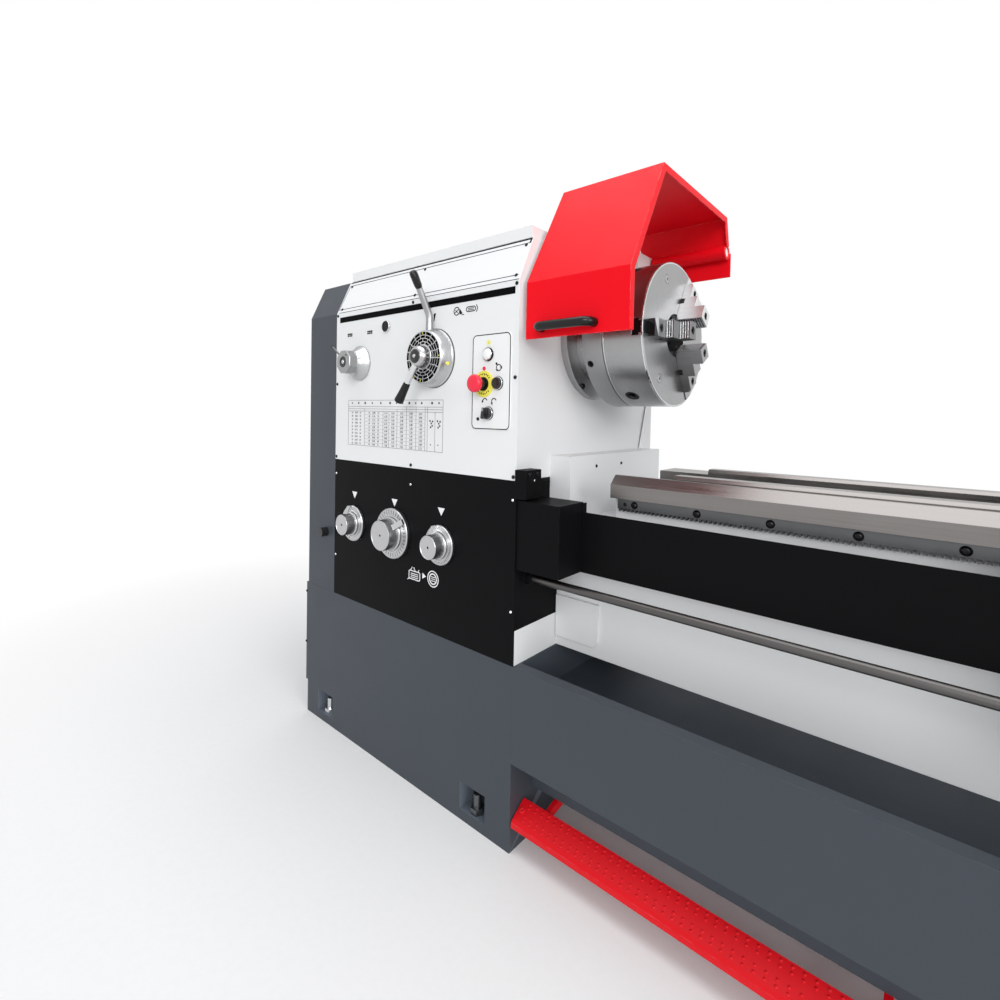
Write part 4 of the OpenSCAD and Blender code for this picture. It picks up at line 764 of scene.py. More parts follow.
def make_finishes():
    c = colours()
    GROUPS.update(enamel=enamel_group(), steel=steel_group(), turned=turned_group(),
                  moulded=moulded_group(), edge=edge_group())
    enamel("panel", c.panel, (0.86, 0.86, 0.86), gloss=0.34, mottle=0.025, wear_and_highlight_amount=0.15)
    enamel("slate", c.slate, (0.16, 0.175, 0.2), gloss=0.40, mottle=0.10, wear_and_highlight_amount=0.7, peel=520)
    # Inside of the tray: slate 1.15 times lighter, painted light against the shade in the tray
    enamel("tray", tuple(v * 1.15 for v in c.slate), (0.07, 0.08, 0.09), gloss=0.42, mottle=0.18, wear_and_highlight_amount=0.6)
    # Pocket walls: slate 2.4 times lighter, painted light against the shade in the pockets
    enamel("pocket_painted_light", tuple(v * 2.4 for v in c.slate), (0.16, 0.175, 0.2), gloss=0.45, mottle=0.10, wear_and_highlight_amount=0.3)
    enamel("black", c.black, (0.035, 0.036, 0.04), gloss=0.40, mottle=0.12, wear_and_highlight_amount=0.8, peel=640, shine=0.04)
    enamel("red", c.guard, (0.95, 0.30, 0.31), gloss=0.36, mottle=0.04, wear_and_highlight_amount=0.75, edge=0.0022, shine=0.12)
    enamel("tread", tuple(v * 0.86 for v in c.guard), (0.9, 0.2, 0.2), gloss=0.42, mottle=0.14, wear_and_highlight_amount=0.8)
    enamel("motor", (0.10, 0.12, 0.14), (0.25, 0.27, 0.3), gloss=0.45, mottle=0.08)
    enamel("print", c.print_dark, (0.03, 0.03, 0.03), gloss=0.5, rounded=False, shine=0.02)
    enamel("print_white", (0.82, 0.83, 0.84), (0.82, 0.83, 0.84), gloss=0.4, rounded=False)
    enamel("print_grey", (0.052, 0.054, 0.058), (0.1, 0.1, 0.1), gloss=0.45, rounded=False, shine=0.1)
    enamel("yellow", c.label_yellow, (0.9, 0.8, 0.1), gloss=0.38, rounded=False, shine=0.15)
    enamel("plate", (0.80, 0.81, 0.815), (0.8, 0.8, 0.8), gloss=0.36, mottle=0.02, wear_and_highlight_amount=0.1)
    steel("bright", (0.60, 0.61, 0.62), rough=0.26, grain=(300, 300, 300), streak=0.10, edge=0.0008)
    steel("polished", (0.70, 0.71, 0.72), rough=0.12, grain=(200, 200, 200), streak=0.06, edge=0.0006)
    steel("ways", (0.225, 0.213, 0.207), rough=0.30, grain=(4, 420, 420), streak=0.30, edge=0.0012)
    steel("shaft", (0.60, 0.60, 0.60), rough=0.24, grain=(420, 60, 60), streak=0.18)
    steel("rod", (0.115, 0.110, 0.108), rough=0.34, grain=(5, 300, 300), streak=0.3)
    steel("dark_steel", (0.145, 0.15, 0.155), rough=0.38, grain=(60, 60, 60), streak=0.25, edge=0.0009)
    # One jaw steel in three tones: the lower jaw keeps the plain tone, the front jaw's darker copy is painted
    # shade and the upper jaw's lighter copy painted light
    for name, shade in (("jaw", 0.36), ("front_jaw", 0.21), ("upper_jaw", 0.72)):
        steel(name, (shade, shade * 1.01, shade * 1.02), rough=0.33, grain=(40, 160, 160), streak=0.3,
              edge=0.0008)
    steel("oxide", (0.028, 0.028, 0.030), rough=0.36, grain=(120, 120, 120), streak=0.3, edge=0.0005)
    steel("iron", (0.47, 0.475, 0.48), rough=0.36, grain=(90, 90, 90), streak=0.2, edge=0.0010)
    axis = (0.0, 0.0, SPINDLE_Z)
    turned("chuck", (0.36, 0.364, 0.368), axis, (1, 0, 0), rough=0.29, rings=760, edge=0.0012)
    turned("back_plate", (0.33, 0.334, 0.338), axis, (1, 0, 0), rough=0.34, rings=520, edge=0.0012)
    turned("cover_ring", (0.46, 0.465, 0.47), axis, (1, 0, 0), rough=0.38, rings=600, edge=0.0012)
    for node in ("left_feed_knob", "middle_feed_knob", "right_feed_knob", "range_knob"):
        low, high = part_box(node)
        turned(node, (0.52, 0.525, 0.53), ((low.x + high.x) / 2, 0,
                                           KNOB_HEIGHT if "feed" in node else RANGE.z),
               (0, 1, 0), rough=0.30, rings=1500, edge=0.0006)
    turned("drum", (0.55, 0.555, 0.56), DRUM, (0, 1, 0), rough=0.28, rings=1300, edge=0.0010)
    turned("hub", (0.50, 0.505, 0.51), DRUM, (0, 1, 0), rough=0.22, rings=1600, edge=0.0008)
    moulded("plastic", (0.012, 0.012, 0.013), rough=0.33)
    moulded("grip", (0.006, 0.0062, 0.0065), rough=0.22, grain=500, Specular_IOR_Level=0.3)
    moulded("stop_red", (0.80, 0.012, 0.045), rough=0.30)
    moulded("rubber", (0.02, 0.02, 0.02), rough=0.6)
    moulded("lens", (0.80, 0.82, 0.82), rough=0.16, grain=300, bump=0.03, Coat_Weight=0.6)
    # Near-black for the bottoms of holes and hollows: painted shade
    moulded("cavity_painted_shade", (0.004, 0.004, 0.004), rough=0.7)


NODE_FINISH = {
    "cabinet_legs": "slate", "chip_tray": "slate", "levelling_screws": "polished", "bed": "panel",
    "rack": "dark_steel",
    "bed_covers": "panel", "end_bracket": "panel", "headstock_casing": "panel", "headstock_covers": "panel",
    "screws": "oxide", "control_plate": "plate", "oil_sight_glass": "bright",
    "front_bearing_cover": "cover_ring",
    "spindle_bearings": "bright", "feed_gearbox": "black", "screw_guard_box": "black",
    "guard_switch": "black",
    "guard_hinge": "panel", "motor": "motor", "drive_belts": "rubber", "spindle": "shaft",
    "spindle_gear": "shaft",
    "chuck_backplate": "back_plate", "chuck_body": "chuck", "front_jaw": "front_jaw", "lower_jaw": "jaw",
    "upper_jaw": "upper_jaw", "chuck_guard": "red", "guard_handle": "grip", "end_cover": "slate",
    "end_cover_knob": "plastic", "speed_drum": "drum", "speed_lever": "polished", "range_knob": "range_knob",
    "left_feed_knob": "left_feed_knob", "middle_feed_knob": "middle_feed_knob",
    "right_feed_knob": "right_feed_knob", "stop_button": "stop_red", "jog_button": "plastic",
    "selector_switch": "plastic", "brake_pedal": "tread", "leadscrew": "shaft", "feed_rod": "shaft",
    "start_rod": "rod", "saddle": "panel", "apron": "panel", "screw_guard": "black",
    "carriage_handwheel": "polished", "start_lever": "plastic", "cross_slide": "iron",
    "cross_slide_handle": "polished", "swivel_base": "iron", "top_slide": "iron",
    "top_slide_handle": "polished",
    "tool_post": "dark_steel", "tailstock": "panel", "quill": "shaft", "tailstock_handwheel": "polished",
    "input_shaft": "shaft", "motor_rotor": "shaft",
}


def paint_node(node, names, choose=None):
    """Gives a solid its finishes; choose picks one for each face from its middle and normal."""
    mesh = NODES[node].data
    mesh.materials.clear()
    for name in names:
        mesh.materials.append(FINISH[name])
    if choose:
        picks = [choose(p.center, p.normal) for p in mesh.polygons]
        mesh.polygons.foreach_set("material_index", picks)
    else:
        mesh.polygons.foreach_set("material_index", [0] * len(mesh.polygons))


def bed_face(middle, normal):
    """Ground steel on the ways and their front face, enamel on the walls."""
    return 1 if middle.z > WAY_LIP and middle.x > BED_FROM else 0


def tray_painted_light_face(middle, normal):
    """The tray's inside gets a lighter slate than its skirt: painted light that offsets the shade inside the
    tray.
    """
    inside = middle.y > FRONT_Y + 0.002 and middle.z > TRAY_FLOOR
    return 1 if inside and (normal.z > 0.5 or abs(normal.z) < 0.5) else 0


# Operators -----------------------------------------------------------------------------


class LATHE_OT_finishes(bpy.types.Operator):
    """Makes the finishes and trees, and paints the solids"""

    bl_idname = "lathe.finishes"
    bl_label = "Finishes"

    def execute(self, context):
        make_finishes()
        TREES.update(heads=heads_tree(), repeat=repeat_tree(), thread=thread_tree())
        missing = set(NODES) ^ set(NODE_FINISH)
        if missing:
            raise RuntimeError(f"no finish for {sorted(missing)}")
        for node, name in NODE_FINISH.items():
            paint_node(node, [name])
        paint_node("bed", ["panel", "ways"], bed_face)
        paint_node("chip_tray", ["slate", "tray"], tray_painted_light_face)
        # Walls of the screw pockets get the lighter slate: painted light against their shade
        paint_node("cabinet_legs", ["slate", "pocket_painted_light"],
                   lambda m, n: 1 if m.z < POCKET_TOP and FRONT_Y + 0.0015 < m.y < FRONT_Y + 0.12 else 0)
        # Polished levelling screws at the left end; those further right get dark steel as painted shade in
        # their pockets
        paint_node("levelling_screws", ["polished", "dark_steel"], lambda m, n: 0 if m.x < LEFT + 0.25 else 1)
        # The front jaw's outer end gets the near-black oxide finish as painted shade
        paint_node("front_jaw", ["front_jaw", "oxide"], lambda m, n: 1 if m.y < -JAW_PAINTED_SHADE_FROM else 0)
        return {"FINISHED"}


def screw_head(sides=16):
    """Button head with a hexagon socket, about a unit radius."""
    shape = template_shape()
    rings = [level(disc(*ORIGIN, radius, sides), height)
             for height, radius in ((-0.05, 0.98), (0.12, 1.0), (0.38, 0.86), (0.56, 0.6), (0.60, 0.44))]
    recess = flat_sided(*ORIGIN, 0.40, 6, sides)
    shape.add_faces(rings + [level(recess, 0.60), level(recess, 0.2)], "oxide")
    return template(shape, "screw head")


def heads_on(spots, name):
    """Screw heads at (point, aim, radius) as one mesh in metres."""
    mesh = bpy.data.meshes.new("spots")
    mesh.from_pydata([tuple(p) for p, _, _ in spots], [], [])
    aim = mesh.attributes.new("aim", "FLOAT_VECTOR", "POINT")
    aim.data.foreach_set("vector", [v for _, a, _ in spots for v in a])
    size = mesh.attributes.new("size", "FLOAT", "POINT")
    size.data.foreach_set("value", [r / 1000 for _, _, r in spots])
    head = screw_head()
    result = grown("heads", mesh, Head=head, Material=FINISH[name])
    used = head.data
    bpy.data.objects.remove(head)
    bpy.data.meshes.remove(used)
    return result


FRONT_AIM = (0, -1, 0)
RIGHT_AIM = (1, 0, 0)


class LATHE_OT_screws(bpy.types.Operator):
    """Socket screws of the panels, covers, flange and rack"""

    bl_idname = "lathe.screws"
    bl_label = "Screws"

    def execute(self, context):
        spots = []
        gearbox = [(on_panel(x, z), FRONT_AIM, 3.6)
                   for x, z in ((7, 788), (360, 788), (PANEL_W - 8, 788), (7, 540), (PANEL_W - 8, 540))]
        for x in (7, 360, PANEL_W - 8):
            for z in (839, 1058, 1263):
                if (x, z) != (360, 1058):
                    spots.append((on_panel(x, z), FRONT_AIM, 4.5))
        for x in (20, 360, PANEL_W - 15):
            for share in (0.12, 0.84):
                y = FRONT_Y + LEAN * share
                z = BEND_Z + (HEAD_Z - BEND_Z) * share
                aim = Vector((0, -(HEAD_Z - BEND_Z), LEAN)).normalized()
                spots.append((Vector((LEFT + x / 1000, y, z)), aim, 4.2))
        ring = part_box("front_bearing_cover")[1].x
        for angle in range(-2, 358, 60):
            a = math.radians(angle)
            spots.append((Vector((ring, 0.140 * math.cos(a), SPINDLE_Z + 0.140 * math.sin(a))), RIGHT_AIM,
                          7.5))
        x = RACK[0].x + 0.040
        spots.append((Vector((x - 0.022, RACK[0].y, WAY_LIP - 0.013)), FRONT_AIM, 4.0))
        while x < RACK[1].x - 0.015:
            spots.append((Vector((x, RACK[0].y, WAY_LIP - 0.013)), FRONT_AIM, 7.6))
            x += 0.137
        for y in (-0.068, 0.056):
            spots.append((Vector((RIGHT + 0.058, y, GAP_Z + 0.120)), RIGHT_AIM, 4.2))
        for x, z in ((-160, 389), (-160, 224)):
            spots.append((on_panel(x, z), FRONT_AIM, 4.0))
        shape = Shape()
        shape.join(heads_on(spots, "oxide"), "oxide")
        shape.join(heads_on(gearbox, "polished"), "polished")
        piece = shape.done("panel_screws", "frame", smooth=38)
        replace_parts(piece, "screws")
        return {"FINISHED"}


# Half the width of a feed knob's wedge, in mm
LUG_HALF = 7.5


def dial_knob(node, skirt, thick, grip, length, lug, marks):
    """A feed knob: rimmed dial, stepped shoulder, grip and a wedge lug at an angle."""
    low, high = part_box(node)
    shape = Shape(Vector(((low.x + high.x) / 2, FRONT_Y, KNOB_HEIGHT)), TO_FRONT)
    top = thick + length
    shape.turned([
        (0.3, 8), (0.3, skirt - 1.5), (1.4, skirt), (thick - 2.2, skirt), (thick - 0.4, skirt - 1.4),
        (thick, skirt - 2.6), (thick, skirt - 4.2), (thick - 1.0, skirt - 5.0), (thick - 1.0, grip + 9.4),
        (thick + 0.8, grip + 9.0), (thick + 1.0, grip + 8.2), (thick + 1.2, grip + 5.6),
        (thick - 0.4, grip + 5.2), (thick - 0.4, grip + 3.4), (thick + 5.0, grip + 3.2),
        (thick + 6.4, grip + 2.0), (thick + 7.0, grip + 0.2), (top - 2.6, grip * 0.955),
        (top - 0.8, grip * 0.945),
        (top, grip * 0.915), (top, grip * 0.88), (top - 1.1, grip * 0.85), (top - 1.4, grip * 0.3),
        (top - 1.4, 3.4)], node, steps=96)
    # Near-black disc in the grip's recess: painted shade of the hollow
    shape.turned([(top - 1.8, 3.3), (top - 1.3, 3.3), (top - 1.3, 1.0)], "cavity_painted_shade", steps=20)
    # Wedge from the grip down to the rim
    wedge = ((grip * 0.9, thick - 0.8), (skirt - 0.6, thick - 0.8), (skirt - 0.6, thick + 6),
             (grip + 8, thick + 15), (grip * 0.9, thick + 22))
    shape.add_faces([[(*spun([(r, half)], lug)[0], z) for r, z in wedge]
                     for half in (-LUG_HALF, LUG_HALF)], node)
    # Dark marks between the light fields of the dial
    count, first, sweep, numbers = marks
    mark = template_shape()
    mark.slab(box_outline(grip + 10.6, -0.75, skirt - 5.6, 0.75), thick - 1.1, thick - 0.75, "print")
    repeated(shape, template(mark, "dial mark"), "print", Count=count, Start_Angle=math.radians(first),
             Step_Angle=math.radians(sweep / count))
    middle = (grip + skirt + 5) / 2
    for i, word in enumerate(numbers):
        angle = first + sweep / count * (i + 0.5)
        shape.words(word, 6.4, around(ORIGIN, middle, angle), "print",
                    turn=math.radians(angle - 90), base=thick - 1.05)
    piece = shape.done(node.replace("_knob", "_dial"), node)
    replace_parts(piece, node)


class LATHE_OT_feed_knobs(bpy.types.Operator):
    """Three feed selector knobs with their dials"""

    bl_idname = "lathe.feed_knobs"
    bl_label = "Feed knobs"

    def execute(self, context):
        ticks = sizes().dial_ticks
        dial_knob("left_feed_knob", 52, 10, 31, 34, 97, (2, -118, 26, []))
        dial_knob("middle_feed_knob", 68, 12, 42, 36, 36, (ticks, 20, 360, []))
        dial_knob("right_feed_knob", 50, 10, 31, 34, 104,
                  (7, -104, 112, ["1", "2", "3", "4", "5", "6", "7"]))
        return {"FINISHED"}


class LATHE_OT_speed_drum(bpy.types.Operator):
    """Speed drum with its ringed dial and bent lever, and the lever on its face"""

    bl_idname = "lathe.speed_drum"
    bl_label = "Speed drum and levers"

    def execute(self, context):
        shape = Shape(DRUM, TO_FRONT)
        shape.turned([
            (0.3, 20), (0.3, 71.5), (1.6, 73), (5.2, 73), (6.4, 72), (6.8, 70.2), (20, 68.6), (34, 66.0),
            (36.6, 64.6), (37.6, 63.2), (37.6, 62.4), (37.2, 62.0), (37.2, 29.5), (38.4, 29.0), (38.4, 13.2)],
            "drum", steps=112)
        # Thin black ring at the drum's foot, in the rubber finish: painted shade where the drum meets the panel
        shape.turned([(0.1, 60), (0.1, 74.4), (1.0, 74.2), (1.4, 72.6)], "rubber", steps=96)
        # Rings of dark windows between light lines
        for r0, r1, count, width in ((54.6, 61.6, 17, 0.88), (46.4, 52.8, 17, 0.87), (38.6, 44.8, 15, 0.86),
                                     (31.4, 36.8, 13, 0.78)):
            step = 360 / count
            tile = template_shape()
            tile.slab(arc_tile(r0, r1, -step * width / 2, step * width / 2), 37.0, 37.55, "print")
            repeated(shape, template(tile, "dial window"), "print", Count=count,
                     Step_Angle=math.radians(step),
                     Start_Angle=math.radians(step * 0.3))
        for angle in (92, 1, 262, 236):
            shape.slab(spun(box_outline(55.4, -1.0, 61.0, 1.0), angle), 37.0, 37.8, "yellow")
        # Round spot on the drum's side
        shape.bar([(*around(ORIGIN, r, -14), 17) for r in (68.2, 70.6)], [4.6, 4.4], "yellow", steps=24)
        # Bent lever on the drum's rim, with its flat grip
        shape.bar([(0, 48, 18), (0, 60, 18), (0, 96, 18), (-0.3, 106, 19.5), (-0.8, 118, 25), (-1.6, 150, 42),
                   (-2.4, 172, 53)], [9.6, 9.4, 8.6, 8.6, 8.6, 8.2, 7.6], "jaw", steps=24)
        shape.bar([(-2.0, 165, 49.6), (-2.1, 167, 50.6), (-2.4, 172, 53.5), (-3.1, 190, 63),
                   (-3.5, 198, 67.6),
                   (-3.7, 202, 70), (-3.8, 204, 71.2)], [8.4, 11.4, 13.2, 14.0, 13.6, 11.2, 6], "grip",
                   steps=28,
                  squash=0.72)
        drum = shape.done("speed_dial", "speed_drum")
        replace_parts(drum, "speed_drum")

        shape = Shape(DRUM, TO_FRONT)
        shape.turned([(38.8, 12), (38.8, 26.4), (40.2, 27.4), (50, 27.2), (56, 25.6), (60, 23.2), (62, 20.4),
                      (62, 17.4)], "hub", steps=72)
        shape.turned([(60.8, 17.6), (62.6, 17.4), (64.6, 16.0), (66.0, 12.6), (66.4, 8.6), (65.4, 8.0),
                      (65.2, 1.0)], "plastic", steps=48)
        shape.turned([(65.0, 4.4), (66.2, 4.2), (66.6, 3.0)], "bright", steps=24)
        shape.bar([(-4, -12, 51), (-9, -22, 52.6), (-20, -42, 56), (-33, -68, 60), (-36, -74, 61)],
                  [8.8, 8.4, 8.0, 7.4, 7.2], "polished", steps=28)
        shape.bar([(-31, -64, 59.3), (-32.4, -66.6, 59.6), (-34, -70, 60), (-45, -90, 62.8),
                   (-53.6, -105.4, 65),
                   (-56.2, -109.6, 65.6), (-57.5, -111.8, 66)], [7.8, 8.6, 9.0, 10.4, 11.8, 11.2, 8.4],
                   "grip",
                  steps=32)
        lever = shape.done("speed_lever_hub", "speed_lever")
        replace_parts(lever, "speed_lever")
        return {"FINISHED"}


class LATHE_OT_range_knob(bpy.types.Operator):
    """Range knob: flared skirt, octagonal hub and thin handle"""

    bl_idname = "lathe.range_knob"
    bl_label = "Range knob"

    def execute(self, context):
        shape = Shape(RANGE, TO_FRONT)
        shape.turned([(0.3, 8), (0.3, 49.2), (1.2, 50), (4.6, 50), (6.2, 49.2), (12, 44.2), (20, 38.6),
                      (27, 35.2),
                      (31, 34.0), (32, 30.0)], "range_knob", steps=96)
        shape.add_faces([level(spun(disc(*ORIGIN, r, 8), 22.5), height)
                         for height, r in ((28, 33.8), (54.6, 34.2), (56.4, 32.6), (57, 31.2))], "jaw")
        shape.turned([(56.4, 15.8), (57.8, 15.5), (58.6, 14.2), (58.6, 10.8), (57.4, 10.4), (57.4, 1)],
                     "plastic",
                     steps=40)
        shape.turned([(57.2, 5.8), (58.1, 5.6), (58.3, 4.2)], "bright", steps=24)
        # Small near-black disc on the hub: painted shade of a hole
        shape.turned([(56.6, 3.0), (57.5, 2.8), (57.5, 0.4)], "cavity_painted_shade", at=(15, 18.5), steps=16)
        shape.bar([(-18, 14, 50), (-34, 28, 52.8), (-57, 47.2, 56.6)], [2.7, 2.6, 2.5], "dark_steel",
                  steps=16)
        shape.bar([(-55, 45.8, 56.4), (-57, 47.6, 56.8)], [4.2, 3.4], "plastic", steps=18)
        piece = shape.done("range_dial", "range_knob", smooth=30)
        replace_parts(piece, "range_knob")
        return {"FINISHED"}


# Controls, in mm from the middle of their plate
LAMP = (-8, 62)
STOP = (-21, -5)
JOG = (22, -4)
SELECTOR = (-6, -72)
# How far the marks round the stop button lean, in degrees
MARK_LEAN = math.degrees(0.05)


def plate_centre(node):
    low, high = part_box(node)
    return Vector(((low.x + high.x) / 2, FRONT_Y, (low.z + high.z) / 2))


def frame_line(shape, outline, width, low, high, name):
    """A closed printed line along an outline."""
    inner = inset(outline, width)
    index = shape.slot_of(name)
    count = len(outline)
    rows = []
    for pts, z in ((outline, low), (outline, high), (inner, high), (inner, low)):
        rows.append([shape.bm.verts.new(shape.move @ Vector((x, y, z))) for x, y in pts])
    for k in range(4):
        a, b = rows[k], rows[(k + 1) % 4]
        for i in range(count):
            j = (i + 1) % count
            shape.bm.faces.new((a[i], a[j], b[j], b[i])).material_index = index


def arrow_arc(shape, x, y, r, start, end, width, name, low, high):
    """A curved arrow of the kind printed beside a selector."""
    steps = 10
    pts = [around((x, y), r, start + (end - start) * k / steps) for k in range(steps + 1)]
    for a, b in zip(pts, pts[1:]):
        shape.slab(thick_line(a, b, width), low, high, name)
    tip = pts[-1]
    way = (Vector(pts[-1]) - Vector(pts[-2])).normalized()
    side = Vector((-way.y, way.x))
    base = Vector(tip)
    shape.slab([tuple(base + side * width * 1.4), tuple(base - side * width * 1.4),
                tuple(base + way * width * 3)], low, high, name)


class LATHE_OT_controls(bpy.types.Operator):
    """Control plate with its lamp, stop button, jog button and selector"""

    bl_idname = "lathe.controls"
    bl_label = "Control plate"

    def execute(self, context):
        middle = plate_centre("control_plate")
        shape = Shape(middle, TO_FRONT)
        outline = box_outline(-60, -110, 60, 110, 13, 7)
        shape.slab(outline, 0.0, 2.0, "plate", chamfer=0.5)
        frame_line(shape, box_outline(-58.4, -108.4, 58.4, 108.4, 12, 7), 2.1, 1.8, 2.25, "print")
        # Lamp in its bezel
        shape.turned([(1.8, 15.6), (5.4, 15.4), (7.0, 14.6), (7.6, 13.4)], "oxide", at=LAMP, steps=48)
        shape.turned([(6.8, 13.8), (8.6, 13.2), (9.4, 12.2), (9.4, 10.8)], "polished", at=LAMP, steps=48)
        shape.turned([(8.8, 11.2), (10.6, 10.8), (11.8, 9.4), (12.4, 5.6), (12.6, 1)], "lens", at=LAMP,
                     steps=40)
        # Yellow label under the stop button, with generic dark marks
        shape.turned([(1.8, 30.4), (3.6, 30.2), (4.0, 29.4)], "yellow", at=STOP, steps=56)
        for first, count in ((38, 7), (214, 8)):
            for k in range(count):
                angle = first + k * 14
                turn = k % 3
                ends = around(STOP, 24.6, angle), around(STOP, 20.2 + turn, angle + MARK_LEAN)
                shape.slab(thick_line(*ends, 2.0 + 0.5 * turn), 3.8, 4.25, "print")
        shape.turned([(3.8, 16.2), (6.0, 16.0), (8.4, 15.2)], "oxide", at=STOP, steps=40)
        # Bezels of the jog button and the selector
        for spot in (JOG, SELECTOR):
            shape.turned([(1.8, 16.2), (3.4, 16.0), (4.4, 15.2), (5.2, 14.8)], "oxide", at=spot, steps=48)
            shape.turned([(4.6, 15.2), (5.6, 14.8), (5.8, 13.8), (5.4, 13.4)], "polished", at=spot, steps=48)
        # Small printed signs: power, off, jog and the selector's two ways
        sun = (LAMP[0], LAMP[1] + 27)
        shape.turned([(1.9, 3.6), (2.3, 3.5)], "yellow", at=sun, steps=16)
        for k in range(8):
            ray = [around(sun, r, 45 * k + 22) for r in (4.4, 8.0)]
            shape.slab(thick_line(*ray, 1.8), 1.9, 2.3, "yellow")
        shape.turned([(1.9, 5.0), (2.35, 4.9)], "stop_red", at=(STOP[0], STOP[1] + 35.5), steps=24)
        hand = (JOG[0] + 2, JOG[1] + 35)
        arrow_arc(shape, hand[0], hand[1], 7, 200, 20, 2.2, "print", 1.9, 2.3)
        arrow_arc(shape, hand[0], hand[1], 7, 20, -120, 2.2, "print", 1.9, 2.3)
        shape.turned([(1.9, 3.0), (2.35, 2.9)], "print", at=(hand[0] - 7, hand[1] + 9), steps=16)
        arrow_arc(shape, SELECTOR[0] - 11, SELECTOR[1] + 27, 7, 20, 165, 2.2, "print", 1.9, 2.3)
        arrow_arc(shape, SELECTOR[0] + 17, SELECTOR[1] + 27, 7, 20, 200, 2.2, "print", 1.9, 2.3)
        socket(shape, 4.6, 3.9, 6, 2.0, 1.6, "oxide", at=(-37.5, -85.5))
        piece = shape.done("control_panel", "frame", smooth=38)
        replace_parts(piece, "control_plate")

        shape = Shape(plate_centre("stop_button"), TO_FRONT)
        shape.turned([(8.6, 11.6), (25, 11.4), (26, 9)], "plastic", steps=48)
        shape.turned([(24.6, 10), (25, 16.2), (27.4, 19.2), (31, 20.4), (35, 20.4), (38, 19.2), (40.2, 16.2),
                      (41.2, 12.4), (41.6, 6), (41.7, 1)], "stop_red", steps=64)
        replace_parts(shape.done("stop_cap", "stop_button"), "stop_button")
        shape = Shape(plate_centre("jog_button"), TO_FRONT)
        shape.turned([(4.4, 13.2), (9, 13.1), (10.2, 12.4), (10.6, 11), (9.9, 9.6), (9.7, 1)], "plastic",
                     steps=48)
        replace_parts(shape.done("jog_cap", "jog_button"), "jog_button")
        shape = Shape(plate_centre("selector_switch"), TO_FRONT)
        shape.turned([(3.4, 13.6), (11, 13.3), (12, 12.6), (12.4, 11.4)], "plastic", steps=48)
        shape.slab(spun(box_outline(-3.9, -12.9, 3.9, 12.9, 3.2, 4), -8), 12, 23.6, "plastic", chamfer=1.3)
        shape.slab(spun(box_outline(-0.8, 4.6, 0.8, 11.2), -8), 23.4, 23.85, "print_white")
        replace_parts(shape.done("selector_grip", "selector_switch", smooth=30),
                    "selector_switch")
        return {"FINISHED"}


# Chart on the panel: left, right, low and high, in mm, and the top of its figures
CHART = (68, 481, 879, 1009)
FIGURES_TOP = 978
# Heights of the printed marks over their panel, in mm
PRINT_LOW, PRINT_THIN, PRINT_FULL, PRINT_THICK = 0.02, 0.4, 0.45, 0.5


def straight(shape, a, b, width, name, low=PRINT_LOW, high=PRINT_THIN):
    shape.slab(thick_line(a, b, width), low, high, name)


